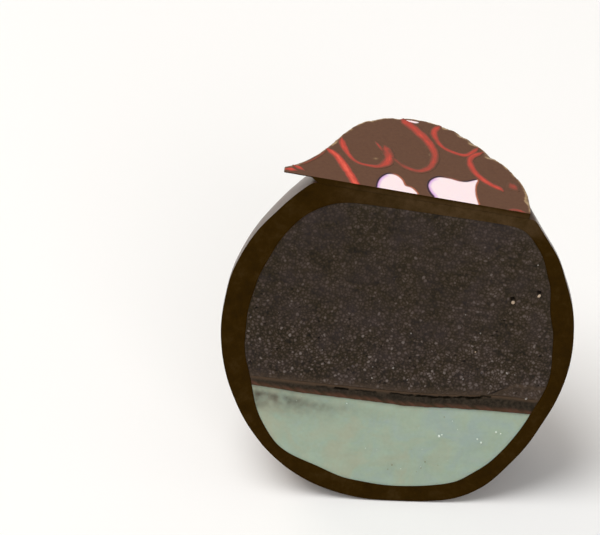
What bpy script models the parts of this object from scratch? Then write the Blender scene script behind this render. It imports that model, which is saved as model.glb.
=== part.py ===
# A chocolate praline cut in two, with the back half kept.
# A round dark shell stands on a small flat foot and leans a little towards +X. The cut
# shows its fillings: mint cream at the bottom, a thin layer of chocolate, and ganache.
# A thin chocolate plaque with a pointed tail lies on the flat top, cut with the rest.
# Sizes are real ones. The origin is on the foot, straight below the ball's middle,
# and the cut face looks towards -Y and a little upwards.

import math

import bmesh
import bpy
from mathutils import Vector

MM = 0.001

# Room that is left between two pieces that touch
GAP = 0.3 * MM

# The ball of the shell, measured from its middle
BALL_RADIUS = 14.0 * MM
BALL_HEIGHT = 15.2 * MM
FOOT_DROP = 14.55 * MM
TOP_RISE = 10.45 * MM

# The praline's own axis leans this far from upright towards +X
LEAN = math.radians(8.2)

# How full the ball is: 2 is a true ellipse, and more is squarer
UPPER_FULLNESS = 2.0
LOWER_FULLNESS = 2.15

# The knife leans back from the praline's axis, and passes in front of the middle
CUT_LEAN = math.radians(14.0)
CUT_FORWARD = 0.9 * MM

# Dents and swells of the hand-made shell: where each one is round the cut, as degrees
# from straight down towards +X, how many degrees it lies behind the cut, how far it
# spreads in degrees, and its height
SWELLS = (
    (-135.0, 0.0, 24.0, -0.50 * MM),
    (-42.0, 0.0, 16.0, 0.12 * MM),
    (30.0, 0.0, 10.0, 0.12 * MM),
    (64.0, 0.0, 13.0, -0.45 * MM),
    (137.0, 0.0, 18.0, -0.70 * MM),
    (0.0, 38.0, 24.0, 0.65 * MM),
)

# Thickness of the shell's wall along the cut, by the same angle from straight down
WALL = (
    (-150.0, 2.4 * MM),
    (-128.0, 1.9 * MM),
    (-95.0, 2.3 * MM),
    (-65.0, 1.8 * MM),
    (-38.0, 1.0 * MM),
    (0.0, 1.45 * MM),
    (58.0, 1.1 * MM),
    (100.0, 1.6 * MM),
    (134.0, 1.1 * MM),
)
WALL_AT_BACK = 1.6 * MM
WALL_AT_FOOT = 1.3 * MM
FLOOR_CORNER = 30.0

# Levels inside the shell, on its axis, and how they rise across it towards +X
CAVITY_TOP = 10.0 * MM
CAVITY_TOP_SLOPE = math.radians(1.5)
MINT_TOP = -5.85 * MM
LAYER_SLOPE = math.radians(4.3)
LAYER_THICKNESS = 0.92 * MM
LAYER_WEDGE = math.radians(0.9)

# The plaque: a disc worn flatter at the back right, with a tail towards -X
PLAQUE_THICKNESS = 0.45 * MM
PLAQUE_CENTRE = Vector((-0.95 * MM, 2.4 * MM))
PLAQUE_RADIUS = 9.9 * MM
PLAQUE_WEAR = 0.8 * MM
PLAQUE_WEAR_AT = math.radians(48.0)
PLAQUE_WEAR_SPREAD = math.radians(21.0)
PLAQUE_ARC_END = math.radians(112.5)
TAIL_BEND_BACK = Vector((-7.4 * MM, 9.6 * MM))
TAIL_BEND_FRONT = Vector((-7.6 * MM, 4.6 * MM))
TAIL_TIP = Vector((-11.2 * MM, 2.3 * MM))
PLAQUE_FRONT = -3.0 * MM

# Steps along the round shapes
SHELL_STEPS = 72
FILLING_STEPS = 60
ARC_STEPS = 36
TAIL_STEPS = 14

# Upright, the praline's own axes, and the two axes of the cut
UP = Vector((0.0, 0.0, 1.0))
BACK = Vector((0.0, 1.0, 0.0))
AXIS = Vector((math.sin(LEAN), 0.0, math.cos(LEAN)))
ACROSS = Vector((math.cos(LEAN), 0.0, -math.sin(LEAN)))
CUT_UP = AXIS * math.cos(CUT_LEAN) + BACK * math.sin(CUT_LEAN)
CUT_FRONT = AXIS * math.sin(CUT_LEAN) - BACK * math.cos(CUT_LEAN)


def clock_direction(degrees, behind):
    # The direction that lies this far round from straight down, and behind the cut
    angle = math.radians(degrees)
    on_cut = ACROSS * math.sin(angle) - CUT_UP * math.cos(angle)
    return on_cut * math.cos(math.radians(behind)) - CUT_FRONT * math.sin(math.radians(behind))


def clock_angle(direction):
    # The reverse: how far round from straight down a direction lies, in degrees
    return math.degrees(math.atan2(direction.dot(ACROSS), -direction.dot(CUT_UP)))


def value_at(values, degrees):
    # A smooth value at an angle, from a closed round of (degrees, value) pairs
    pairs = zip(values, values[1:] + values[:1])
    for (start, first), (end, second) in pairs:
        span = (end - start) % 360.0
        along = (degrees - start) % 360.0
        if along <= span:
            share = 0.5 - 0.5 * math.cos(math.pi * along / span)
            return first + (second - first) * share
    return values[0][1]


def shell_radius(direction):
    # Distance from the middle to the shell's outer face
    level = math.hypot(direction.dot(ACROSS), direction.dot(BACK)) / BALL_RADIUS
    rise = abs(direction.dot(AXIS)) / BALL_HEIGHT
    fullness = UPPER_FULLNESS if direction.dot(AXIS) > 0.0 else LOWER_FULLNESS
    radius = (level ** fullness + rise ** fullness) ** (-1.0 / fullness)
    for degrees, behind, spread, height in SWELLS:
        apart = direction.angle(clock_direction(degrees, behind)) / math.radians(spread)
        radius += height * math.exp(-apart * apart)
    return radius


def wall_thickness(direction):
    # The wall follows the cut's measures there, and evens out towards the back
    behind = max(0.0, -direction.dot(CUT_FRONT))
    on_cut = value_at(WALL, clock_angle(direction))
    return on_cut + (WALL_AT_BACK - on_cut) * behind * behind


def cavity_radius(direction, inset):
    # Distance from the middle to the inner face, with a flat floor over the foot
    radius = shell_radius(direction) - wall_thickness(direction) - inset
    if direction.z >= 0.0:
        return radius
    floor = (FOOT_DROP - WALL_AT_FOOT - inset) / max(-direction.z, 0.01)
    return (radius ** -FLOOR_CORNER + floor ** -FLOOR_CORNER) ** (-1.0 / FLOOR_CORNER)


def ball(radius_at, steps):
    # A closed ball whose rings run parallel to the cut
    mesh = bmesh.new()
    bmesh.ops.create_uvsphere(mesh, u_segments=steps, v_segments=steps // 2, radius=1.0)
    turn = UP.rotation_difference(CUT_FRONT)
    for vertex in mesh.verts:
        direction = (turn @ vertex.co).normalized()
        vertex.co = direction * radius_at(direction)
    return mesh


def keep_side(mesh, point, outward):
    # Slice a closed mesh with a plane, drop what is outside and close the slice
    everything = mesh.verts[:] + mesh.edges[:] + mesh.faces[:]
    sliced = bmesh.ops.bisect_plane(
        mesh, geom=everything, dist=1e-7, plane_co=point, plane_no=outward, clear_outer=True)
    rim = [part for part in sliced["geom_cut"] if isinstance(part, bmesh.types.BMEdge)]
    bmesh.ops.edgeloop_fill(mesh, edges=rim)


def cut_praline(mesh):
    # The one slanted cut that goes through every piece
    keep_side(mesh, CUT_FRONT * CUT_FORWARD, CUT_FRONT)


def sloped_up(slope):
    # The upper side of a level that rises across the praline towards +X
    return AXIS * math.cos(slope) - ACROSS * math.sin(slope)


def principled(name, colour, roughness, coat):
    # A food material from its linear colour, its roughness and its thin gloss
    material = bpy.data.materials.new(name)
    material.use_nodes = True
    shader = material.node_tree.nodes["Principled BSDF"]
    shader.inputs["Base Color"].default_value = (*colour, 1.0)
    shader.inputs["Roughness"].default_value = roughness
    shader.inputs["Metallic"].default_value = 0.0
    shader.inputs["Coat Weight"].default_value = coat
    material.diffuse_color = (*colour, 1.0)
    return material


def shell_chocolate():
    return principled("dark_chocolate", (0.060, 0.032, 0.022), 0.38, 0.15)


def ganache_filling():
    return principled("ganache", (0.030, 0.021, 0.019), 0.55, 0.0)


def layer_chocolate():
    return principled("layer_chocolate", (0.055, 0.026, 0.018), 0.50, 0.0)


def mint_filling():
    return principled("mint_cream", (0.340, 0.430, 0.350), 0.60, 0.0)


def plaque_chocolate():
    return principled("plaque_chocolate", (0.110, 0.055, 0.038), 0.42, 0.10)


def add_object(name, mesh, material, middle):
    # Turn a finished mesh into a named object that hangs from the praline's middle
    bmesh.ops.recalc_face_normals(mesh, faces=mesh.faces)
    data = bpy.data.meshes.new(name)
    mesh.to_mesh(data)
    mesh.free()
    data.materials.append(material)
    data.shade_smooth()
    data.set_sharp_from_angle(angle=math.radians(35.0))
    piece = bpy.data.objects.new(name, data)
    bpy.context.collection.objects.link(piece)
    piece.parent = middle
    return piece


def cavity_cutter(middle):
    # What the shell is hollowed with: the inner face under its flat ceiling
    mesh = ball(lambda direction: cavity_radius(direction, 0.0), FILLING_STEPS)
    keep_side(mesh, AXIS * CAVITY_TOP, sloped_up(CAVITY_TOP_SLOPE))
    cutter = add_object("cavity_cutter", mesh, shell_chocolate(), middle)
    cutter.hide_render = True
    cutter.display_type = "WIRE"
    return cutter


def make_shell(middle):
    # The round wall with its foot, its flat top and the hollow for the fillings
    mesh = ball(shell_radius, SHELL_STEPS)
    keep_side(mesh, UP * -FOOT_DROP, -UP)
    keep_side(mesh, AXIS * TOP_RISE, AXIS)
    cut_praline(mesh)
    shell = add_object("shell", mesh, shell_chocolate(), middle)
    hollow = shell.modifiers.new("hollow", "BOOLEAN")
    hollow.operation = "DIFFERENCE"
    hollow.solver = "EXACT"
    hollow.object = cavity_cutter(middle)


def make_filling(name, material, middle, floor, ceiling):
    # One filling: the inside of the shell between two levels, each a (rise, slope) pair
    mesh = ball(lambda direction: cavity_radius(direction, GAP), FILLING_STEPS)
    if floor:
        keep_side(mesh, AXIS * floor[0], -sloped_up(floor[1]))
    keep_side(mesh, AXIS * ceiling[0], sloped_up(ceiling[1]))
    cut_praline(mesh)
    add_object(name, mesh, material, middle)


def make_fillings(middle):
    # From the bottom: mint cream, the thin chocolate layer, and the ganache
    half = 0.5 * GAP
    layer_top = MINT_TOP + LAYER_THICKNESS
    top_slope = LAYER_SLOPE + LAYER_WEDGE
    make_filling("mint_cream", mint_filling(), middle,
                 None, (MINT_TOP - half, LAYER_SLOPE))
    make_filling("chocolate_layer", layer_chocolate(), middle,
                 (MINT_TOP + half, LAYER_SLOPE), (layer_top - half, top_slope))
    make_filling("ganache", ganache_filling(), middle,
                 (layer_top + half, top_slope), (CAVITY_TOP - GAP, CAVITY_TOP_SLOPE))


def plaque_outline():
    # The round edge from the right to the back, then the hollow curve to the tail's tip,
    # as distances across the praline and towards its back
    points = []
    for step in range(ARC_STEPS + 1):
        angle = PLAQUE_ARC_END * step / ARC_STEPS
        apart = (angle - PLAQUE_WEAR_AT) / PLAQUE_WEAR_SPREAD
        radius = PLAQUE_RADIUS - PLAQUE_WEAR * math.exp(-apart * apart)
        points.append(PLAQUE_CENTRE + Vector((math.cos(angle), math.sin(angle))) * radius)
    start = points[-1]
    for step in range(1, TAIL_STEPS + 1):
        t = step / TAIL_STEPS
        u = 1.0 - t
        points.append(start * u ** 3 + TAIL_BEND_BACK * 3.0 * u * u * t
                      + TAIL_BEND_FRONT * 3.0 * u * t * t + TAIL_TIP * t ** 3)
    points.append(Vector((TAIL_TIP.x, PLAQUE_FRONT)))
    points.append(Vector((points[0].x, PLAQUE_FRONT)))
    return points


def make_plaque(middle):
    # The thin plaque on the flat top
    mesh = bmesh.new()
    base = AXIS * (TOP_RISE + GAP)
    rim = [mesh.verts.new(base + ACROSS * point.x + BACK * point.y) for point in plaque_outline()]
    sheet = mesh.faces.new(rim)
    grown = bmesh.ops.extrude_face_region(mesh, geom=[sheet], use_keep_orig=True)
    raised = [part for part in grown["geom"] if isinstance(part, bmesh.types.BMVert)]
    bmesh.ops.translate(mesh, verts=raised, vec=AXIS * PLAQUE_THICKNESS)
    cut_praline(mesh)
    add_object("plaque", mesh, plaque_chocolate(), middle)


def main():
    for old in list(bpy.data.objects):
        bpy.data.objects.remove(old, do_unlink=True)
    middle = bpy.data.objects.new("praline_middle", None)
    bpy.context.collection.objects.link(middle)
    middle.location = UP * FOOT_DROP
    make_shell(middle)
    make_fillings(middle)
    make_plaque(middle)


main()
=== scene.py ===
import math

import bmesh
import bpy
import numpy as np
from mathutils import Matrix, Vector, noise
from mathutils.geometry import delaunay_2d_cdt
from mathutils.kdtree import KDTree


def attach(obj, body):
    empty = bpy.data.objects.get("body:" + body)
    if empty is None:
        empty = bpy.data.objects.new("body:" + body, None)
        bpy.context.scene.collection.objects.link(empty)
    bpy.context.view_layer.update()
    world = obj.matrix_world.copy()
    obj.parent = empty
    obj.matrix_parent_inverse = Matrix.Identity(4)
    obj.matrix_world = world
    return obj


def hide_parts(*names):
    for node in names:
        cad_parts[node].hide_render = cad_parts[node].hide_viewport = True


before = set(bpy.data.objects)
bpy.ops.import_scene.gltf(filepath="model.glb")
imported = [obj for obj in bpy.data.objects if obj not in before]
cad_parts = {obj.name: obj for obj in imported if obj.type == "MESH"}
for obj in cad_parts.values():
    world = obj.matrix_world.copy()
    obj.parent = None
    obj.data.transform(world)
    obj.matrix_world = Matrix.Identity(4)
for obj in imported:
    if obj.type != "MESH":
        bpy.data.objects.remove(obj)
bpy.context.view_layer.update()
print("frame loaded:", ", ".join(sorted(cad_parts)))

mm = 0.001
body = "root"

praline = {
    "lean": math.radians(8.2),      # from upright, towards +X
    "middleRise": 14.55,            # from the floor to the ball's middle
    "cutLean": math.radians(14.0),  # how far the knife leaned back
    "cutForward": 0.9,              # how far in front of the middle it passed
}
across = np.array([1.0, 0.0, 0.0])
cutUp = np.array([0.0, math.sin(praline["cutLean"]), math.cos(praline["cutLean"])])
cutFront = np.array([0.0, -math.cos(praline["cutLean"]), math.sin(praline["cutLean"])])
down = np.array([math.sin(praline["lean"]), 0.0, -math.cos(praline["lean"])])
toWorld = (Matrix.Translation((0.0, 0.0, praline["middleRise"] * mm))
           @ Matrix.Rotation(praline["lean"], 4, "Y") @ Matrix.Scale(mm, 4))


# Numbers and noise

def unit(points):
    return points / np.linalg.norm(points, axis=1, keepdims=True)


def eased(values, low, high):
    # 0 below low, 1 above high, and a soft rise between them
    share = np.clip((values - low) / (high - low), 0.0, 1.0)
    return share * share * (3.0 - 2.0 * share)


def bumps(points, size, octaves=1, shift=0.0):
    # Soft noise from about -1 to 1, with its bumps `size` millimetres apart
    scaled = points / size + shift
    return np.array([noise.fractal(Vector(p), 1.0, 2.0, octaves) for p in scaled])


def layered(points, rows):
    # Several layers of noise: how high, how far apart, how many octaves, and its shift
    return sum(high * bumps(points, apart, octaves, shift) for high, apart, octaves, shift in rows)


def raised(flat, height=0.0):
    # Flat places as points in space, all at one height
    return np.column_stack([flat, np.full(len(flat), float(height))])


def smoothThrough(knots, at):
    # A smooth curve through a few (place, value) points
    places = np.array([knot[0] for knot in knots])
    values = np.array([knot[1] for knot in knots])
    slopes = np.gradient(values, places)
    after = np.clip(np.searchsorted(places, at), 1, len(places) - 1)
    width = places[after] - places[after - 1]
    t = np.clip((at - places[after - 1]) / width, 0.0, 1.0)
    rise = t * t * (3.0 - 2.0 * t)
    return (values[after - 1] * (1.0 - rise) + values[after] * rise
            + slopes[after - 1] * width * t * (1.0 - t) ** 2
            - slopes[after] * width * t * t * (1.0 - t))


def roundTheCut(values, degrees):
    # A smooth value at each clock angle, from a closed round of (degrees, value) pairs
    starts = np.array([pair[0] for pair in values])
    knots = np.append(starts - starts[0], 360.0)
    levels = np.array([pair[1] for pair in values] + [values[0][1]])
    turned = (degrees - starts[0]) % 360.0
    after = np.clip(np.searchsorted(knots, turned, side="right"), 1, len(knots) - 1)
    along = (turned - knots[after - 1]) / (knots[after] - knots[after - 1])
    share = 0.5 - 0.5 * np.cos(math.pi * along)
    return levels[after - 1] + (levels[after] - levels[after - 1]) * share


# The ball, its wall and its hollow

ball = {
    "radius": 14.0,
    "height": 15.2,
    "upperFullness": 2.0,    # 2 is a true ellipse, and more is squarer
    "lowerFullness": 2.15,
    "topRise": 10.76,        # where the plaque lies
    "topEdge": 110.0,        # how crisp the edge of the flat top is
    "footEdge": 60.0,
    # the uneven skin of a ball rolled by hand, in layers of noise
    "skin": ((0.05, 5.5, 2, 0.0), (0.010, 1.3, 2, 7.0)),
    # degrees round the cut from straight down, degrees behind it, spread, and height
    "swells": ((-135.0, 0.0, 24.0, -0.50), (-42.0, 0.0, 16.0, 0.12), (30.0, 0.0, 10.0, 0.12),
               (64.0, 0.0, 13.0, -0.45), (137.0, 0.0, 18.0, -0.70), (0.0, 38.0, 24.0, 0.65),
               (-122.0, 26.0, 24.0, -0.30), (128.0, 26.0, 22.0, -0.62)),
    # how far the cut's rim lies outside that, by degrees from straight down, how fast this
    # fades behind the cut, and the angle between the cut and the ball's middle
    "rim": ((-150.0, -0.36), (-128.0, -0.28), (-112.0, -0.18), (-95.0, -0.05), (-80.0, 0.03),
            (-43.0, -0.10), (-24.0, 0.07), (-8.0, 0.03), (6.0, 0.23), (28.0, 0.33), (36.0, 0.32),
            (48.0, 0.08), (63.0, 0.20), (84.0, 0.02), (100.0, -0.07), (114.0, -0.12),
            (128.0, 0.18), (145.0, 0.22)),
    "rimFade": math.radians(20.0),
    "cutAngle": 0.07,
    # the search for a rim on the cut, and how squarely an aim must face a plane to meet it
    "firstReach": 13.0, "rounds": 8, "leastFacing": 0.02, "farAway": 1000.0,
}
wall = {
    # thickness along the cut, by degrees from straight down
    "onCut": ((-150.0, 2.4), (-128.0, 1.9), (-95.0, 2.3), (-65.0, 1.8), (-38.0, 1.0),
              (0.0, 1.45), (58.0, 1.1), (100.0, 1.6), (134.0, 1.1)),
    # how far the hollow's rim on the cut lies outside that, likewise
    "rim": ((-150.0, -0.24), (-128.0, -0.14), (-113.0, -0.10), (-98.0, 0.13), (-88.0, 0.21),
            (-75.0, 0.04), (-52.0, -0.20), (-43.0, -0.20), (-32.0, 0.04), (-19.0, -0.19),
            (-6.0, 0.10), (10.0, 0.36), (27.0, 0.31), (37.0, 0.08), (50.0, -0.04), (64.0, 0.10),
            (78.0, 0.20), (95.0, -0.06), (107.0, -0.32), (118.0, -0.06), (131.0, 0.28),
            (141.0, 0.34), (154.0, 0.0)),
    "atBack": 1.6,
    "atFoot": 1.05,
    "floorCorner": 30.0,
    "ceilingCorner": 26.0,
    "ceiling": 9.82,                     # the underside of the lid
    "ceilingSlope": math.radians(1.5),
}


def clockDirection(degrees, behind):
    # The direction this far round from straight down, and this far behind the cut
    angle = math.radians(degrees)
    flat = across * math.sin(angle) - cutUp * math.cos(angle)
    return flat * math.cos(math.radians(behind)) - cutFront * math.sin(math.radians(behind))


def clockOf(aims):
    # How many degrees round from straight down each aim lies
    return np.degrees(np.arctan2(aims @ across, -(aims @ cutUp)))


def lesser(radius, limit, crispness):
    # The smaller of two distances, with the edge between them rounded
    return (radius ** -crispness + limit ** -crispness) ** (-1.0 / crispness)


def toPlane(aims, normal, distance):
    # How far each aim runs before it meets a plane, or very far if it never does
    facing = aims @ normal
    least = ball["leastFacing"]
    return np.where(facing > least, distance / np.maximum(facing, least), ball["farAway"])


def plainRadius(aims):
    # The smooth ball under everything else, with its broad swells and hollows
    level = np.hypot(aims[:, 0], aims[:, 1]) / ball["radius"]
    rise = np.abs(aims[:, 2]) / ball["height"]
    fullness = np.where(aims[:, 2] > 0.0, ball["upperFullness"], ball["lowerFullness"])
    radius = (level ** fullness + rise ** fullness) ** (-1.0 / fullness)
    for degrees, behind, spread, height in ball["swells"]:
        apart = np.arccos(np.clip(aims @ clockDirection(degrees, behind), -1.0, 1.0))
        radius = radius + height * np.exp(-(apart / math.radians(spread)) ** 2)
    return radius


def rimShift(aims, knots):
    # How far a rim is moved out, which fades behind the cut
    behind = np.arcsin(np.clip(-(aims @ cutFront), -1.0, 1.0)) + ball["cutAngle"]
    return roundTheCut(knots, clockOf(aims)) * np.exp(-(np.maximum(behind, 0.0) / ball["rimFade"]) ** 2)


def outerRadius(aims):
    # The shell's outer face, with its flat top, its foot and its uneven skin
    radius = plainRadius(aims) + layered(aims * ball["radius"], ball["skin"]) + rimShift(aims, ball["rim"])
    top = toPlane(aims, np.array([0.0, 0.0, 1.0]), ball["topRise"])
    foot = toPlane(aims, down, praline["middleRise"])
    return lesser(lesser(radius, top, ball["topEdge"]), foot, ball["footEdge"])


def cavityRadius(aims):
    # The hollow's wall, with its flat floor over the foot and the lid's underside
    behind = np.maximum(0.0, -(aims @ cutFront))
    onCutWall = roundTheCut(wall["onCut"], clockOf(aims))
    radius = plainRadius(aims) - (onCutWall + (wall["atBack"] - onCutWall) * behind ** 2)
    radius = radius + rimShift(aims, wall["rim"])
    floor = toPlane(aims, down, praline["middleRise"] - wall["atFoot"])
    slope = wall["ceilingSlope"]
    ceilingNormal = np.array([-math.sin(slope), 0.0, math.cos(slope)])
    ceiling = toPlane(aims, ceilingNormal, wall["ceiling"] * math.cos(slope))
    return lesser(lesser(radius, floor, wall["floorCorner"]), ceiling, wall["ceilingCorner"])


def onCut(flat, relief=0.0):
    # Points of the cut, from distances across and up it, raised by their relief
    forward = praline["cutForward"] + np.broadcast_to(relief, len(flat))
    return flat[:, :1] * across + flat[:, 1:] * cutUp + forward[:, None] * cutFront


def cutOutline(radiusAt, degrees):
    # Where a round wall meets the cut, as distances across the cut and up it
    angles = np.radians(degrees)
    aim = np.stack([np.sin(angles), -np.cos(angles)], axis=1)
    reach = np.full(len(angles), ball["firstReach"])
    for step in range(ball["rounds"]):
        towards = unit(onCut(aim * reach[:, None]))
        reach = np.sqrt(radiusAt(towards) ** 2 - praline["cutForward"] ** 2)
    return aim * reach[:, None]


# Sheets of fine triangles, and closed pieces sewn from them

def insideLoops(points, loops):
    # Which points lie inside the outlines and outside the holes in them
    odd = np.zeros(len(points), bool)
    x, y = points[:, 0], points[:, 1]
    for loop in loops:
        for (x1, y1), (x2, y2) in zip(loop, np.roll(loop, -1, axis=0)):
            if y1 != y2:
                odd ^= ((y1 > y) != (y2 > y)) & (x < (x2 - x1) * (y - y1) / (y2 - y1) + x1)
    return odd


def nearestOn(points, rim):
    # The nearest point of a rim to each point: its number, and how far away it lies
    tree = KDTree(len(rim))
    for index, point in enumerate(rim):
        tree.insert((point[0], point[1], 0.0), index)
    tree.balance()
    found = [tree.find((p[0], p[1], 0.0))[1:] for p in points]
    return np.array([index for index, away in found]), np.array([away for index, away in found])


def distanceTo(points, rim):
    return nearestOn(points, rim)[1]


def outwardOf(loop):
    # The directions out of a closed outline, at each of its points
    along = np.roll(loop, -1, axis=0) - np.roll(loop, 1, axis=0)
    outward = unit(np.column_stack([along[:, 1], -along[:, 0]]))
    turn = ((loop - loop.mean(0)) * outward).sum()
    return outward if turn > 0.0 else -outward


sheet = {"fromRim": 0.6, "shake": 0.14}     # both in steps of the sheet's grid


def fineSheet(loops, step):
    # Even triangles inside closed outlines, the outlines' own points first
    rims = np.concatenate(loops)
    low, high = rims.min(0), rims.max(0)
    rows = np.arange(low[1], high[1], step * math.sqrt(0.75))
    columns = np.arange(low[0], high[0] + step, step)
    grid = np.array([(x + 0.5 * step * (index % 2), y) for index, y in enumerate(rows) for x in columns])
    grid = grid[insideLoops(grid, loops)]
    grid = grid[distanceTo(grid, rims) > sheet["fromRim"] * step]
    grid += draw.uniform(-sheet["shake"], sheet["shake"], grid.shape) * step
    points = np.concatenate([rims, grid])
    edges = []
    start = 0
    for loop in loops:
        count = len(loop)
        edges += [(start + k, start + (k + 1) % count) for k in range(count)]
        start += count
    result = delaunay_2d_cdt([Vector(p) for p in points], edges, [], 1, 1e-7)
    faces = np.array(result[2])
    if len(loops) > 1:
        faces = faces[insideLoops(points[faces].mean(1), loops)]
    return points, faces


def evenly(points, step, closed=False):
    # The same path with its points this far apart
    path = np.concatenate([points, points[:1]]) if closed else np.asarray(points)
    travelled = np.append(0.0, np.cumsum(np.linalg.norm(np.diff(path, axis=0), axis=1)))
    count = max(2, int(round(travelled[-1] / step)))
    wanted = np.linspace(0.0, travelled[-1], count + 1)
    if closed:
        wanted = wanted[:-1]
    return np.stack([np.interp(wanted, travelled, path[:, k]) for k in range(path.shape[1])], axis=1)


def sewSkin(points, faces, skinPoints, skinFaces, start, count):
    # Join a skin to a sheet along the rim that they share: the skin's first points
    fresh = len(points) + np.arange(len(skinPoints) - count)
    renamed = np.concatenate([start + np.arange(count), fresh])
    return np.concatenate([points, skinPoints[count:]]), np.concatenate([faces, renamed[skinFaces]])


def backSkin(centre, rim, reachOf, step):
    # The round skin behind a rim on the cut, spread out flat round the way to the back
    aims = unit(rim - centre)
    turn = np.arctan2(aims @ cutUp, aims @ across)
    away = np.arccos(np.clip(-(aims @ cutFront), -1.0, 1.0))
    flatRim = np.stack([away * np.cos(turn), away * np.sin(turn)], axis=1)
    flat, faces = fineSheet([flatRim], step)
    away = np.linalg.norm(flat, axis=1)
    side = flat / np.maximum(away, 1e-9)[:, None]
    aims = (np.sin(away)[:, None] * (side[:, :1] * across + side[:, 1:] * cutUp)
            - np.cos(away)[:, None] * cutFront)
    points = centre + aims * reachOf(aims)[:, None]
    points[:len(rim)] = rim
    return points, faces


def newObject(name, data):
    thing = bpy.data.objects.new(name, data)
    bpy.context.scene.collection.objects.link(thing)
    return thing


def storeMarks(mesh, marks):
    # Named values kept on a mesh's points
    for mark, values in marks.items():
        kept = mesh.attributes.new(mark, "FLOAT", "POINT")
        kept.data.foreach_set("value", np.asarray(values, np.float32))


def addPiece(name, points, faces, materials, looks=None, rims=(), marks=None):
    # A closed mesh from points in the praline's frame. looks gives each face its material,
    # rims are stretches of points with a crisp edge, and marks are values kept on the points
    mesh = bpy.data.meshes.new(name)
    mesh.from_pydata(points.tolist(), [], faces.tolist())
    mesh.transform(toWorld)
    for material in materials:
        mesh.materials.append(material)
    if looks is not None:
        mesh.polygons.foreach_set("material_index", looks.astype(np.int32))
    shape = bmesh.new()
    shape.from_mesh(mesh)
    bmesh.ops.recalc_face_normals(shape, faces=shape.faces)
    shape.to_mesh(mesh)
    shape.free()
    mesh.shade_smooth()
    ends = np.zeros(len(mesh.edges) * 2, np.int32)
    mesh.edges.foreach_get("vertices", ends)
    ends = np.sort(ends.reshape(-1, 2), axis=1)
    crisp = np.zeros(len(ends), bool)
    for start, count in rims:
        apart = ends[:, 1] - ends[:, 0]
        within = (ends[:, 0] >= start) & (ends[:, 1] < start + count)
        crisp |= within & ((apart == 1) | (apart == count - 1))
    mesh.attributes.new("sharp_edge", "BOOLEAN", "EDGE").data.foreach_set("value", crisp)
    storeMarks(mesh, marks or {})
    return newObject(name, mesh)


def handOver(piece, slot, *nodes):
    # The piece rides on the praline and stands for its solids
    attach(piece, body)
    if nodes:
        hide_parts(*nodes)


# Materials

def linear(code):
    # An sRGB hex colour as the linear numbers that shaders read
    parts = [int(code[k:k + 2], 16) / 255.0 for k in (1, 3, 5)]
    return tuple(p / 12.92 if p <= 0.04045 else ((p + 0.055) / 1.055) ** 2.4 for p in parts) + (1.0,)


def addNode(tree, kind, settings=None, inputs=None, stops=None):
    # One node with its settings, its input values or links, and a ramp's colour stops
    node = tree.nodes.new(kind)
    for key, value in (settings or {}).items():
        setattr(node, key, value)
    for key, value in (inputs or {}).items():
        socket = node.inputs[key]
        if isinstance(value, bpy.types.NodeSocket):
            tree.links.new(value, socket)
        else:
            socket.default_value = value
    for index, (place, colour) in enumerate(stops or ()):
        elements = node.color_ramp.elements
        element = elements[index] if index < 2 else elements.new(place)
        element.position = place
        element.color = linear(colour)
    return node


def startMaterial(name, values):
    # A Principled material and its tree; the values go on the shader's own sockets
    material = bpy.data.materials.new(name)
    material.use_nodes = True
    shader = material.node_tree.nodes["Principled BSDF"]
    for key, value in values.items():
        shader.inputs[key].default_value = value
    return material, material.node_tree, shader


def noiseOf(tree, apart, detail, roughness, distortion=0.0, place=None):
    # Noise through the object, its bumps this many millimetres apart. A place of one's own
    # is in millimetres, and the object's is in metres
    unitSize = 1.0
    if place is None:
        place = addNode(tree, "ShaderNodeTexCoord").outputs["Object"]
        unitSize = mm
    return addNode(tree, "ShaderNodeTexNoise", None, {
        "Vector": place, "Scale": 1.0 / (apart * unitSize), "Detail": detail,
        "Roughness": roughness, "Distortion": distortion}).outputs["Fac"]


def markOf(tree, name):
    # A value kept on the mesh's points
    return addNode(tree, "ShaderNodeAttribute", {"attribute_name": name}).outputs["Fac"]


def mathOf(tree, operation, *values):
    return addNode(tree, "ShaderNodeMath", {"operation": operation}, dict(enumerate(values))).outputs[0]


def swingOf(tree, value, swing):
    # A noise as a change to add: this much from its lowest to its highest, and 0 between
    return mathOf(tree, "MULTIPLY_ADD", value, swing, -0.5 * swing)


def rangeOf(tree, value, start, end, low=0.0, high=1.0, way="LINEAR"):
    # Low where the value is at the start, high where it is at the end
    return addNode(tree, "ShaderNodeMapRange", {"interpolation_type": way}, {
        "Value": value, "From Min": start, "From Max": end, "To Min": low, "To Max": high}).outputs["Result"]


def toneOf(tree, value, stops):
    # A colour by a value, from a ramp's (place, colour) stops
    return addNode(tree, "ShaderNodeValToRGB", None, {"Fac": value}, stops).outputs["Color"]


def mixOf(tree, share, first, second):
    # Two colours mixed, each a hex code or another node's colour
    first, second = (linear(each) if isinstance(each, str) else each for each in (first, second))
    return addNode(tree, "ShaderNodeMix", {"data_type": "RGBA"}, {
        0: share, 6: first, 7: second}).outputs[2]


def paint(made, colour, height=None, relief=None):
    # Give a material its colour, and a fine relief by its strength and depth in millimetres
    material, tree, shader = made
    tree.links.new(colour, shader.inputs["Base Color"])
    if height is not None:
        raisedBy = addNode(tree, "ShaderNodeBump", None, {
            "Strength": relief[0], "Distance": relief[1] * mm, "Height": height})
        tree.links.new(raisedBy.outputs["Normal"], shader.inputs["Normal"])
    return material


# In the looks below each noise has its distance apart in millimetres, detail and roughness,
# each relief its strength and depth in millimetres, and tones are the stops of a ramp

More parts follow.
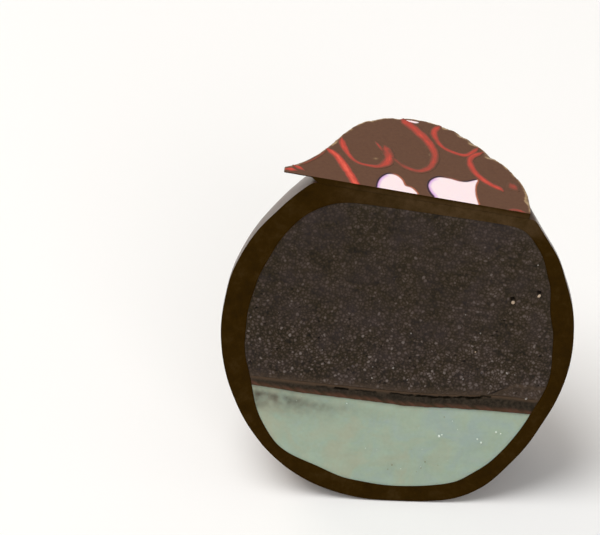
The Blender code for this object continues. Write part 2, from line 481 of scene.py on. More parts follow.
outerLook = {
    "shader": {"IOR": 1.46, "Coat Weight": 0.16, "Coat Roughness": 0.26,
               "Specular Tint": linear("#ffe4c2")},
    "tones": ((0.30, "#3f2b20"), (0.50, "#452f24"), (0.72, "#4b3529")),
    "cloud": (4.6, 4.0, 0.55), "grain": (0.35, 5.0, 0.65), "relief": (0.6, 0.012),
    "roughness": (0.3, 0.7, 0.35, 0.43),     # between two values of the cloud, and what it is there
}


def shellOutside():
    # Tempered dark chocolate, poured in a mould and rolled in the palm: an even satin skin,
    # with broad soft highlights, faint clouds where the hand warmed it and a fine grain
    made = startMaterial("temperedDarkChocolateSatin", outerLook["shader"])
    tree, shader = made[1:]
    cloud = noiseOf(tree, *outerLook["cloud"])
    tree.links.new(rangeOf(tree, cloud, *outerLook["roughness"]), shader.inputs["Roughness"])
    return paint(made, toneOf(tree, cloud, outerLook["tones"]),
                 noiseOf(tree, *outerLook["grain"]), outerLook["relief"])


ringLook = {
    "shader": {"Roughness": 0.6, "IOR": 1.46, "Specular IOR Level": 0.03},
    "tones": ((0.34, "#261700"), (0.52, "#2d1c00"), (0.72, "#38280f")),
    "lidTones": ((0.34, "#35260f"), (0.64, "#493722")),
    "smear": (1.3, 7.0, 0.72), "grain": (0.16, 4.0, 0.6), "relief": (0.7, 0.02),
}


def shellCut():
    # The same chocolate where the knife broke and smeared it: dense, nearly black with a
    # warm brown in it, paler in the lid, and dull, so that it hardly mirrors the light
    made = startMaterial("darkChocolateKnifeCut", ringLook["shader"])
    tree = made[1]
    smear = noiseOf(tree, *ringLook["smear"])
    colour = mixOf(tree, markOf(tree, "lid"), toneOf(tree, smear, ringLook["tones"]),
                   toneOf(tree, smear, ringLook["lidTones"]))
    return paint(made, colour, noiseOf(tree, *ringLook["grain"]), ringLook["relief"])


ganacheLook = {
    "shader": {"Roughness": 0.42, "IOR": 1.46, "Specular IOR Level": 0.16},
    "tones": ((0.10, "#120c05"), (0.42, "#2d2313"), (0.66, "#42362e"), (1.0, "#6e645e")),
    "blotch": (1.9, 3.0, 0.6), "blotchSwing": 0.36,
    "patch": (2.6, 5.0, 0.7), "fatty": (0.42, 0.68, 0.0, 0.34), "violet": "#3e3336",
    "border": "#47382b", "grain": (0.17, 3.0, 0.7), "relief": (0.7, 0.02),
}


def ganacheCut():
    # Ganache, chocolate melted into cream, set and cut cold: a close waxy crumb of grains
    # and tiny bubbles, with painted shade nearly black in the gaps and bubbles, and a greyish painted
    # highlight on the grains' tops
    made = startMaterial("creamGanacheKnifeCut", ganacheLook["shader"])
    tree = made[1]
    shade = swingOf(tree, noiseOf(tree, *ganacheLook["blotch"]), ganacheLook["blotchSwing"])
    level = mathOf(tree, "ADD", markOf(tree, "crumb"), shade)
    fatty = rangeOf(tree, noiseOf(tree, *ganacheLook["patch"]), *ganacheLook["fatty"])
    tinted = mixOf(tree, fatty, toneOf(tree, level, ganacheLook["tones"]), ganacheLook["violet"])
    colour = mixOf(tree, markOf(tree, "border"), tinted, ganacheLook["border"])
    return paint(made, colour, noiseOf(tree, *ganacheLook["grain"]), ganacheLook["relief"])


filmLook = {
    "shader": {"Roughness": 0.5, "IOR": 1.46, "Specular IOR Level": 0.1},
    "insideTones": ((0.38, "#1f1910"), (0.62, "#362d23")), "splitShadow": "#181206",
    "top": "#4a3a2c", "bottom": "#5a3b2e", "bottomDark": "#40301c",
    "edge": 0.04, "topWidth": 0.36, "bottomWidth": 0.50,     # from where to where each border fades
    "grain": (0.3, 4.0, 0.65), "ragged": 0.30, "relief": (0.7, 0.02),
}


def filmChocolate():
    # A thin film of chocolate poured between the fillings: brittle and nearly black inside,
    # reddish brown along both borders, where the fillings' fat has softened it
    made = startMaterial("pouredChocolateFilm", filmLook["shader"])
    tree = made[1]
    grain = noiseOf(tree, *filmLook["grain"])
    ragged = swingOf(tree, grain, filmLook["ragged"])
    low = mixOf(tree, markOf(tree, "streak"), filmLook["bottomDark"], filmLook["bottom"])
    colour = toneOf(tree, grain, filmLook["insideTones"])
    for mark, width, border in (("fromTop", filmLook["topWidth"], filmLook["top"]),
                                ("fromBottom", filmLook["bottomWidth"], low)):
        depth = mathOf(tree, "ADD", markOf(tree, mark), ragged)
        inside = rangeOf(tree, depth, filmLook["edge"], width, way="SMOOTHSTEP")
        colour = mixOf(tree, inside, border, colour)
    # painted shadow in the film's splits, darkest where they run deepest
    colour = mixOf(tree, markOf(tree, "splitShadow"), colour, filmLook["splitShadow"])
    return paint(made, colour, grain, filmLook["relief"])


mintLook = {
    "shader": {"Roughness": 0.5, "IOR": 1.45, "Specular IOR Level": 0.25,
               "Subsurface Weight": 0.12, "Subsurface Scale": 0.4 * mm},
    "tones": ((0.32, "#9baba1"), (0.50, "#9eae9a"), (0.68, "#a3aa94")), "smudgeAndShade": "#504b40",
    "strawLeftward": 0.012,     # how much nearer to straw each millimetre to the left is
    "cloud": (2.4, 4.0, 0.6, 0.8), "grain": (0.25, 3.0, 0.6), "relief": (0.4, 0.015),
}


def mintFondant():
    # Mint cream, sugar beaten into peppermint fondant: opaque, soft and slightly moist,
    # pale green with bluish and straw-coloured clouds, and dragged smooth by the knife
    made = startMaterial("mintFondantCream", mintLook["shader"])
    tree = made[1]
    place = addNode(tree, "ShaderNodeTexCoord").outputs["Object"]
    sideways = addNode(tree, "ShaderNodeSeparateXYZ", None, {"Vector": place}).outputs["X"]
    level = mathOf(tree, "MULTIPLY_ADD", sideways, -mintLook["strawLeftward"] / mm,
                   noiseOf(tree, *mintLook["cloud"]))
    # chocolate smudged on the cream, and painted shade along its top edge
    colour = mixOf(tree, markOf(tree, "smudgeAndShade"), toneOf(tree, level, mintLook["tones"]),
                   mintLook["smudgeAndShade"])
    return paint(made, colour, noiseOf(tree, *mintLook["grain"]), mintLook["relief"])


plaqueLook = {
    "shader": {"Roughness": 0.42, "IOR": 1.46, "Specular IOR Level": 0.35},
    "tones": ((0.3, "#5b3c2a"), (0.7, "#644430")), "grain": (0.25, 5.0, 0.6),
    "brokenTones": ((0.40, "#795c42"), (0.60, "#b4976f")), "patch": (0.7, 3.0, 0.5),
    "relief": (0.4, 0.01),
}


def plaqueFace():
    # Dark milk chocolate set against a smooth foil: a flat satin face with a very fine
    # grain, and a pale tan fracture along the edge, where the thin sheet broke, with painted shade down its
    # broken side
    made = startMaterial("foilSetChocolate", plaqueLook["shader"])
    tree = made[1]
    grain = noiseOf(tree, *plaqueLook["grain"])
    fracture = toneOf(tree, noiseOf(tree, *plaqueLook["patch"]), plaqueLook["brokenTones"])
    colour = mixOf(tree, markOf(tree, "broken"), toneOf(tree, grain, plaqueLook["tones"]), fracture)
    return paint(made, colour, grain, plaqueLook["relief"])


redLook = {
    "shader": {"Roughness": 0.4, "IOR": 1.46, "Specular IOR Level": 0.35},
    "tones": ((0.16, "#60402d"), (0.46, "#8a4334"), (0.78, "#bf4334"), (1.0, "#e5604b")),
    "streak": (1.0, 6.0, 0.72), "stretch": (1.1, 2.4, 1.0),
    # how much of the butter the streaks add, and how much is missing at the edge and all over
    "streaked": 0.9, "edgeLess": 0.72, "less": 0.10,
}


def redButter():
    # Cocoa butter dyed red and brushed on the foil: opaque where it lies thick, with
    # streaks along the stroke and a thin edge where the chocolate shows through
    made = startMaterial("redCocoaButter", redLook["shader"])
    tree = made[1]
    aside = markOf(tree, "aside")
    where = addNode(tree, "ShaderNodeCombineXYZ", None, {"X": markOf(tree, "travelled"), "Y": aside})
    stretched = addNode(tree, "ShaderNodeMapping", None, {
        "Vector": where.outputs["Vector"], "Scale": redLook["stretch"]})
    streak = noiseOf(tree, *redLook["streak"], place=stretched.outputs["Vector"])
    edge = mathOf(tree, "POWER", mathOf(tree, "ABSOLUTE", aside), 2.0)
    laid = mathOf(tree, "SUBTRACT", markOf(tree, "cover"), redLook["less"])
    thinner = mathOf(tree, "MULTIPLY_ADD", edge, -redLook["edgeLess"], laid)
    amount = mathOf(tree, "MULTIPLY_ADD", streak, redLook["streaked"], thinner)
    return paint(made, toneOf(tree, amount, redLook["tones"]))


whiteLook = {
    "shader": {"Roughness": 0.4, "IOR": 1.46, "Specular IOR Level": 0.35,
               "Subsurface Weight": 0.05, "Subsurface Scale": 0.2 * mm},
    "white": "#f9e4e6", "violet": "#d6a9dc", "warm": "#a85f40", "outline": "#2a1020",
    # how far in from the rim the line starts to fade, has faded, and the violet has faded
    "lineFades": 0.12, "lineEnds": 0.20, "violetEnds": 0.42,
}


def whiteButter():
    # Cocoa butter whitened and printed first: a smooth, milky pink white, with a violet
    # shade along its left, a thin dark line where the red overlaps, and a warm right edge
    made = startMaterial("whiteCocoaButter", whiteLook["shader"])
    tree = made[1]
    inward = markOf(tree, "fromRim")
    edge = rangeOf(tree, inward, whiteLook["lineEnds"], whiteLook["violetEnds"], 1.0, 0.0)
    violet = mathOf(tree, "MULTIPLY", edge, markOf(tree, "shaded"))
    tinted = mixOf(tree, violet, whiteLook["white"], whiteLook["violet"])
    line = rangeOf(tree, inward, whiteLook["lineFades"], whiteLook["lineEnds"], 1.0, 0.0)
    border = mixOf(tree, markOf(tree, "leftSide"), whiteLook["warm"], whiteLook["outline"])
    return paint(made, mixOf(tree, line, tinted, border))


speckLook = {
    "shader": {"IOR": 1.5, "Specular IOR Level": 0.4},
    "patch": (0.8, 2.0, 0.5), "stops": (0.35, 0.65),
}


def speckMaterial(name, dark, light, roughness):
    # Sugar, fat or cocoa set in a filling: tiny grains, some clear and some cloudy, so each
    # one catches the light differently
    made = startMaterial(name, speckLook["shader"] | {"Roughness": roughness})
    tree = made[1]
    tones = tuple(zip(speckLook["stops"], (dark, light)))
    return paint(made, toneOf(tree, noiseOf(tree, *speckLook["patch"]), tones))


# The shell

shellMake = {
    "outlinePoints": 1440,
    "rimStep": 0.14, "cutStep": 0.15, "skinStep": 0.020, "hollowStep": 0.06, "edgeDrop": 0.03,
    "relief": ((0.030, 2.2, 2, 0.0), (0.012, 0.5, 2, 3.0)),
    # marks dragged by the knife: how places are squeezed for their noise, and this noise
    "squeeze": (0.25, 1.0, 1.0), "dragged": (0.012, 0.3, 1, 9.0),
    # the paler lid: between which places it starts and ends
    "lidLeft": (-9.0, 1.5), "lidRight": (8.6, 10.4), "lidUp": (9.0, 9.9),
}


def cutRelief(flat, rims, drop, relief, width=0.22):
    # The relief of a cut face, which sinks a little within this distance of its rims
    near = eased(distanceTo(flat, rims), 0.0, width)
    return relief * near - drop * (1.0 - near)


def ringRelief(flat):
    points = raised(flat)
    return (layered(points, shellMake["relief"])
            + layered(points * np.array(shellMake["squeeze"]), [shellMake["dragged"]]))


def lidShare(flat):
    # How much of each place belongs to the paler lid, above the ganache
    sides = eased(flat[:, 0], *shellMake["lidLeft"]) * (1.0 - eased(flat[:, 0], *shellMake["lidRight"]))
    return eased(flat[:, 1], *shellMake["lidUp"]) * sides


def makeShell():
    spread = np.linspace(-180.0, 180.0, shellMake["outlinePoints"], endpoint=False)
    outer = evenly(cutOutline(outerRadius, spread), shellMake["rimStep"], closed=True)
    inner = evenly(cutOutline(cavityRadius, spread), shellMake["rimStep"], closed=True)
    flat, faces = fineSheet([outer, inner], shellMake["cutStep"])
    rims = np.concatenate([outer, inner])
    relief = cutRelief(flat, rims, shellMake["edgeDrop"], ringRelief(flat))
    points = onCut(flat, relief)
    cutFaces = len(faces)
    centre = np.zeros(3)
    skin, skinFaces = backSkin(centre, points[:len(outer)], outerRadius, shellMake["skinStep"])
    points, faces = sewSkin(points, faces, skin, skinFaces, 0, len(outer))
    rim = points[len(outer):len(rims)]
    hollow, hollowFaces = backSkin(centre, rim, cavityRadius, shellMake["hollowStep"])
    points, faces = sewSkin(points, faces, hollow, hollowFaces, len(outer), len(inner))
    looks = np.zeros(len(faces))
    looks[:cutFaces] = 1
    lid = np.zeros(len(points))
    lid[:len(flat)] = lidShare(flat)
    piece = addPiece("shell_wall", points, faces, [shellOutside(), shellCut()], looks,
                     [(0, len(outer)), (len(outer), len(inner))], {"lid": lid})
    handOver(piece, "shell_chocolate", "shell")
    print("shell:", len(faces), "faces")


# The fillings

levels = {
    # heights up the praline at places across it
    "filmTop": ((-13.0, -5.98), (-10.8, -5.85), (-6.1, -5.57), (-2.1, -5.28), (1.8, -4.99),
                (5.8, -4.48), (8.7, -4.02), (11.7, -3.84), (13.0, -3.8)),
    "mintTop": ((-13.0, -6.65), (-10.5, -6.58), (-6.0, -6.51), (-2.0, -6.31), (2.0, -6.13),
                (6.0, -5.63), (10.9, -5.15), (13.0, -5.0)),
    "ragged": 0.05, "raggedApart": 0.7,
}
filling = {
    "gap": 0.02, "rimStep": 0.09, "edgeDrop": 0.05, "wallPoints": 400,
    # searches by halving: how far the hollow can reach, how high a level can meet the wall
    # in degrees, and how many halvings each takes
    "farthest": 30.0, "reachHalvings": 26, "steepest": 170.0, "wallHalvings": 30,
    # the point that each filling's skin is spread from, across and behind the cut, and for
    # each filling how high this lies, and the steps of its cut face and of its skin
    "centre": (0.5, -1.0),
    "mint": (-9.4, 0.13, 0.045), "film": (-5.9, 0.055, 0.05), "ganache": (1.0, 0.072, 0.045),
}
crack = {
    # splits in the film: where each starts and ends across the cut, how far under the
    # film's top it runs there, and its depth
    "splits": ((-5.6, -4.6, 0.26, 0.10), (-4.2, -2.9, 0.28, 0.26), (-2.6, -0.6, 0.28, 0.14),
               (0.2, 2.4, 0.26, 0.18), (2.2, 5.4, 0.28, 0.26), (5.2, 7.7, 0.26, 0.28),
               (7.4, 8.4, 0.12, 0.20)),
    "end": 0.15,          # the share of a split's length over which it opens and closes
    "wander": (0.09, 0.7, 3, 0.0),
    "width": 0.075, "widthMean": 1.05, "widthChange": (0.9, 0.3, 2, 5.0),
}


def onCutLevel(height):
    # How far up the cut a height up the praline lies
    return (height - praline["cutForward"] * math.sin(praline["cutLean"])) / math.cos(praline["cutLean"])


def filmTop(x):
    return smoothThrough(levels["filmTop"], x)


def mintTop(x):
    return smoothThrough(levels["mintTop"], x)


def hollowReach(centre, holds):
    # A function that says how far an aim runs from the centre inside the hollow
    def reach(aims):
        near = np.zeros(len(aims))
        far = np.full(len(aims), filling["farthest"])
        for step in range(filling["reachHalvings"]):
            half = 0.5 * (near + far)
            points = centre + aims * half[:, None]
            distance = np.linalg.norm(points, axis=1)
            kept = distance < cavityRadius(points / distance[:, None]) - filling["gap"]
            kept &= holds(points)
            near = np.where(kept, half, near)
            far = np.where(kept, far, half)
        return near
    return reach


def wallArc(start, end):
    # The hollow's wall on the cut between two clock angles, a little inside it
    degrees = np.linspace(start, end, filling["wallPoints"])
    path = cutOutline(cavityRadius, degrees)
    path = path * (1.0 - filling["gap"] / np.linalg.norm(path, axis=1, keepdims=True))
    return evenly(path, filling["rimStep"])


def meetsWall(level, side):
    # The clock angle where a level meets the wall, left (-1) or right (+1)
    low, high = 0.0, filling["steepest"]
    for step in range(filling["wallHalvings"]):
        half = 0.5 * (low + high)
        x, up = cutOutline(cavityRadius, np.array([side * half]))[0]
        if up < onCutLevel(level(np.array([x]))[0]):
            low = half
        else:
            high = half
    return side * half


def levelLine(level, start, end, shift, seed):
    # A level's line on the cut between two places, slightly ragged
    x = np.linspace(start, end, int(abs(end - start) / filling["rimStep"]) + 1)[1:-1]
    line = np.column_stack([x, np.zeros(len(x)), np.full(len(x), seed)])
    rough = levels["ragged"] * bumps(line, levels["raggedApart"], 3)
    return np.column_stack([x, onCutLevel(level(x)) + rough + shift])


def splitRelief(flat, depth):
    # How far the film's face sinks into its splits
    sink = np.zeros(len(flat))
    for start, end, under, deep in crack["splits"]:
        share = (flat[:, 0] - start) / (end - start)
        along = eased(share, 0.0, crack["end"]) * (1.0 - eased(share, 1.0 - crack["end"], 1.0))
        points = np.column_stack([flat[:, 0], np.zeros(len(flat)), np.full(len(flat), start)])
        line = under + layered(points, [crack["wander"]])
        wide = crack["width"] * (crack["widthMean"] + layered(points, [crack["widthChange"]]))
        sink += deep * along * np.exp(-((depth - line) / wide) ** 2)
    return sink


def makeFilling(name, outline, sizes, holds, relief, material, slot, node):
    # One filling: its cut face from the outline, and its hidden sides along the hollow
    centreUp, cutStep, skinStep = sizes
    aside, behindCut = filling["centre"]
    centre = onCut(np.array([[aside, centreUp]]), behindCut)[0]
    flat, faces = fineSheet([outline], cutStep)
    height, marks = relief(flat)
    depth = cutRelief(flat, outline, filling["edgeDrop"], height)
    points = onCut(flat, depth)
    skin, skinFaces = backSkin(centre, points[:len(outline)], hollowReach(centre, holds), skinStep)
    behind = np.zeros(len(skin) - len(outline))
    kept = {mark: np.append(values, behind) for mark, values in marks.items()}
    cutFaces = faces
    points, faces = sewSkin(points, faces, skin, skinFaces, 0, len(outline))
    piece = addPiece(name, points, faces, [material], None, [(0, len(outline))], kept)
    handOver(piece, slot, node)
    print(name + ":", len(faces), "faces")
    return flat, depth, cutFaces


ganacheMake = {
    # the crumb: how far apart its grains lie and how wide the gaps between them are, in
    # shares of that, and how high they stand under the lid and over the film
    "crumb": 0.26, "gapShare": 0.34, "fine": 0.010, "coarse": 0.034,
    "coarseFrom": 4.0, "coarseFull": -3.5,     # heights up the cut between which they grow
    "dragFrom": -1.0, "dragFull": 8.0,         # places across the cut between which drag grows
    # bubbles: how far apart they could be, how many there are, how wide and how deep
    "bubble": 0.50, "bubbleShare": 0.30, "bubbleWidth": 0.24, "bubbleDepth": 0.16,
    # broad dents, and streaks dragged by the knife: their noise, how places are squeezed
    # for it, and how deep they are everywhere and where it dragged most
    "swell": (0.035, 3.0, 2, 0.0), "streak": (1.0, 0.30, 2, 2.0), "squeeze": (0.16, 1.0, 1.0),
    "streakDepth": (0.006, 0.020),
    # how bright the face is, from 0 in the gaps, a painted shade, to 1 on the brightest grains,
    # a painted highlight. Each pair is a share everywhere, and more of it where the crumb is
    # coarse or the knife dragged
    "bright": 0.46, "brightCoarse": 0.06, "brightDrag": 0.05,
    "ofTopsHighlightAndShade": (0.32, 0.12), "ofOwn": (0.20, 0.06), "ofStreaks": (0.08, 0.11), "bubbleShade": 0.22,
    "mottle": (0.08, 0.5, 2, 6.0), "topsMean": 0.66,
    # the few brightest grains, painted glints: how much, how rare, and how much of that under the lid
    "glint": 0.22, "glintAbove": (0.975, 0.03), "glintShare": (0.35, 0.65),
    # the brown border over the film: its width, how strong it is, and how this changes
    "border": 0.42, "borderMean": 0.6, "borderChange": (0.4, 0.35, 3, 3.0),
    # a wedge of the film's chocolate that rose into the ganache at the right: where it
    # starts, how fast and how far it rises, and the end of the seam along its top
    "wedge": (8.0, 0.55, 1.15, 9.7), "wedgeWander": (0.09, 0.6, 3, 4.0),
    "wedgeStart": (-0.6, 0.8), "wedgeEdge": (-0.15, 0.25),
    "wedgeMean": 0.30, "wedgeTop": (0.45, -0.10, 0.16), "wedgeChange": (0.2, 0.4, 3, 13.0),
    "seamWidth": 0.08, "seamStart": 0.3, "seamEnd": 1.0, "seamDepth": 0.14,
    # how much painted shade darkens the seam, and how much of the brown border it clears
    "seamShade": 0.6, "seamClears": 0.8,
    # holes: place across, place up, width and depth
    "holes": ((8.50, 4.02, 0.36, 0.30), (10.44, 4.93, 0.32, 0.28), (6.4, -0.8, 0.16, 0.14),
              (-0.9, 4.2, 0.16, 0.10), (5.0, 1.2, 0.16, 0.10)),
    # how much narrower the holes are up and down, and how much painted shade darkens them
    "holeFlat": 1.2, "holeShade": 0.5,
}


def ganacheCoarse(flat):
    # Where the crumb is coarse: most of all over the film, and fine under the lid
    return eased(-flat[:, 1], -ganacheMake["coarseFrom"], -ganacheMake["coarseFull"])


def crumbCells(points, coarse):
    # At each point, how near it is to the top of its grain, from 0 in the gap between two,
    # a number of the grain's own, and how deep it lies in a bubble
    tops, own, bubble = np.zeros((3, len(points)))
    apart = Vector((9.0, 4.0, 0.0))     # keeps the bubbles off the pattern of the grains
    for index, point in enumerate(points):
        near, cells = noise.voronoi(Vector(point) / ganacheMake["crumb"])
        tops[index] = min(1.0, (near[1] - near[0]) / ganacheMake["gapShare"])
        own[index] = 0.5 + 0.5 * noise.cell(cells[0] * 7.3)
        near, cells = noise.voronoi(Vector(point) / ganacheMake["bubble"] + apart)
        if 0.5 + 0.5 * noise.cell(cells[0] * 5.1) < ganacheMake["bubbleShare"] * coarse[index]:
            bubble[index] = max(0.0, 1.0 - (near[0] / ganacheMake["bubbleWidth"]) ** 2)
    return eased(tops, 0.0, 1.0), own, bubble


def wedgeAt(points, above):
    # How much of the wedge is at each point, and how much of the seam on its top
    make = ganacheMake
    start, slope, most, reach = make["wedge"]
    x = points[:, 0]
    over = above - np.minimum(slope * (x - start), most) + layered(points, [make["wedgeWander"]])
    first, full = make["wedgeStart"]
    wedge = eased(x, start + first, start + full) * (1.0 - eased(over, *make["wedgeEdge"]))
    more, at, wide = make["wedgeTop"]
    wedge *= (make["wedgeMean"] + more * np.exp(-((over - at) / wide) ** 2)
              + layered(points, [make["wedgeChange"]]))
    seam = np.exp(-(over / make["seamWidth"]) ** 2)
    seam *= eased(x, start - make["seamStart"], start + make["seamStart"])
    return wedge, seam * (1.0 - eased(x, reach - make["seamEnd"], reach))


def ganacheRelief(flat):
    make = ganacheMake
    points = raised(flat)
    coarse = ganacheCoarse(flat)
    drag = eased(flat[:, 0], make["dragFrom"], make["dragFull"])
    tops, own, bubble = crumbCells(points, coarse)
    streaks = layered(points * np.array(make["squeeze"]), [make["streak"]])

    def share(pair, growth):
        return pair[0] + pair[1] * growth

    stand = make["fine"] + (make["coarse"] - make["fine"]) * coarse
    height = layered(points, [make["swell"]]) + stand * (tops * (0.5 + own) - 0.5)
    height += share(make["streakDepth"], drag) * streaks - make["bubbleDepth"] * bubble
    # The face's brightness: painted shade in the gaps, bubbles, holes and seam, a painted highlight on the
    # grains' tops and glints, and the grains' own tone, a mottle and the knife's streaks
    crumb = make["bright"] + make["brightCoarse"] * coarse + make["brightDrag"] * drag
    crumb += share(make["ofTopsHighlightAndShade"], coarse) * (tops - make["topsMean"])
    crumb += share(make["ofOwn"], coarse) * (own - 0.5) + share(make["ofStreaks"], drag) * streaks
    crumb += layered(points, [make["mottle"]]) - make["bubbleShade"] * bubble
    rare, moreOften = make["glintAbove"]
    crumb += make["glint"] * (own > rare - moreOften * coarse) * tops * share(make["glintShare"], coarse)
    for x, up, wide, deep in make["holes"]:
        away = (flat[:, 0] - x) ** 2 + (make["holeFlat"] * (flat[:, 1] - up)) ** 2
        hole = np.exp(-away / (0.5 * wide) ** 2)
        height -= deep * hole
        crumb -= make["holeShade"] * hole
    above = flat[:, 1] - onCutLevel(filmTop(flat[:, 0]))
    border = make["borderMean"] + layered(points, [make["borderChange"]])
    border *= np.exp(-(above / make["border"]) ** 2)
    wedge, seam = wedgeAt(points, above)
    height -= make["seamDepth"] * seam
    crumb -= make["seamShade"] * seam
    border = np.maximum(border, wedge) * (1.0 - make["seamClears"] * seam)
    return height, {"crumb": np.clip(crumb, 0.0, 1.0), "border": np.clip(border, 0.0, 1.0)}


filmMake = {
    "relief": ((0.030, 0.8, 2, 0.0), (0.025, 0.25, 2, 4.0)), "sink": 0.02,
    # reddish streaks that slant up from its underside
    "slant": (1.6, 0.3), "streak": (0.8, 0.55, 3, 7.0), "streakWidens": 0.12,
    "splitFull": 0.17,     # how deep a split is for its painted shadow to be fully dark
}


def filmRelief(flat):
    points = raised(flat)
    fromTop = onCutLevel(filmTop(flat[:, 0])) - flat[:, 1]
    fromBottom = flat[:, 1] - onCutLevel(mintTop(flat[:, 0]))
    height = layered(points, filmMake["relief"]) - filmMake["sink"]
    sink = splitRelief(flat, fromTop)
    sideways, upwards = filmMake["slant"]
    slant = raised(np.column_stack([flat[:, 0] + sideways * fromBottom, upwards * fromBottom]))
    streak = np.clip(0.5 + layered(slant, [filmMake["streak"]]), 0.0, 1.0)
    fromBottom = fromBottom - filmMake["streakWidens"] * (streak - 0.5)
    return height - sink, {"fromTop": fromTop, "fromBottom": fromBottom, "streak": streak,
                           "splitShadow": np.clip(sink / filmMake["splitFull"], 0.0, 1.0)}


mintMake = {
    # broad dents, marks dragged by the knife, and a fine grain. The marks' direction is
    # given by its cosine and sine, and places are squeezed along it
    "dents": (0.060, 3.2, 2, 0.0), "dragged": (0.020, 0.6, 2, 3.0), "fine": (0.008, 0.3, 2, 8.0),
    "turn": (0.94, 0.34), "squeeze": (0.3, 1.0, 1.0),
    # chocolate smeared over the cream: place across, place up, width, height and strength
    "smudges": ((-10.1, -7.7, 1.0, 0.5, 0.34), (-8.4, -7.8, 2.0, 0.4, 0.24),
                (-5.6, -7.8, 2.6, 0.5, 0.16), (-9.9, -8.5, 0.8, 0.6, 0.24),
                (-7.8, -8.0, 3.4, 1.1, 0.36), (-3.0, -7.6, 3.0, 0.6, 0.12),
                (4.1, -11.4, 0.6, 0.9, 0.08), (1.4, -12.1, 0.4, 0.7, 0.09), (8.4, -9.0, 0.9, 0.5, 0.06)),
    "patchy": (0.6, 0.7, 4, 0.0),
    # painted shade along the cream's top edge, under the film: how dark and how wide it is
    "edgeShade": 0.42, "edgeWidth": 0.17,
    "haze": 0.05, "hazeChange": ((0.05, 1.1, 4, 2.0), (0.05, 0.26, 3, 5.0)),
}


def mintRelief(flat):
    make = mintMake
    points = raised(flat)
    along, aside = make["turn"]
    turned = raised(np.column_stack([along * flat[:, 0] + aside * flat[:, 1],
                                     along * flat[:, 1] - aside * flat[:, 0]]))
    height = layered(points, [make["dents"], make["fine"]])
    height += layered(turned * np.array(make["squeeze"]), [make["dragged"]])
    smudgeAndShade = np.zeros(len(flat))
    for x, up, wide, high, strength in make["smudges"]:
        smudgeAndShade += strength * np.exp(-((flat[:, 0] - x) / wide) ** 2 - ((flat[:, 1] - up) / high) ** 2)
    smudgeAndShade *= 1.0 + layered(points, [make["patchy"]])
    under = onCutLevel(mintTop(flat[:, 0])) - flat[:, 1]
    smudgeAndShade += make["edgeShade"] * np.exp(-(under / make["edgeWidth"]) ** 2)
    smudgeAndShade += make["haze"] + layered(points, make["hazeChange"])
    return height, {"smudgeAndShade": np.clip(smudgeAndShade, 0.0, 1.0)}


def makeFillings():
    # From the bottom up: mint cream, the chocolate film, and ganache
    mintLeft, mintRight = meetsWall(mintTop, -1.0), meetsWall(mintTop, 1.0)
    filmLeft, filmRight = meetsWall(filmTop, -1.0), meetsWall(filmTop, 1.0)
    gap = filling["gap"]

    bottom = wallArc(mintLeft, mintRight)
    top = levelLine(mintTop, bottom[-1][0], bottom[0][0], -gap, 1.0)
    mint = makeFilling("mint_filling", np.concatenate([bottom, top]), filling["mint"],
                       lambda p: p[:, 2] < mintTop(p[:, 0]) - gap, mintRelief,
                       mintFondant(), "mint_cream", "mint_cream")

    right, left = wallArc(mintRight, filmRight), wallArc(filmLeft, mintLeft)
    top = levelLine(filmTop, right[-1][0], left[0][0], -gap, 2.0)
    under = levelLine(mintTop, left[-1][0], right[0][0], gap, 1.0)
    makeFilling("chocolate_film", np.concatenate([right, top, left, under]), filling["film"],
                lambda p: (p[:, 2] < filmTop(p[:, 0]) - gap) & (p[:, 2] > mintTop(p[:, 0]) + gap),
                filmRelief, filmChocolate(), "layer_chocolate", "chocolate_layer")

    wallTop = wallArc(filmRight, filmLeft + 360.0)
    under = levelLine(filmTop, wallTop[-1][0], wallTop[0][0], gap, 2.0)
    ganache = makeFilling("ganache_filling", np.concatenate([wallTop, under]), filling["ganache"],
                          lambda p: p[:, 2] > filmTop(p[:, 0]) + gap, ganacheRelief,
                          ganacheCut(), "ganache", "ganache")
    return mint, ganache


# The plaque

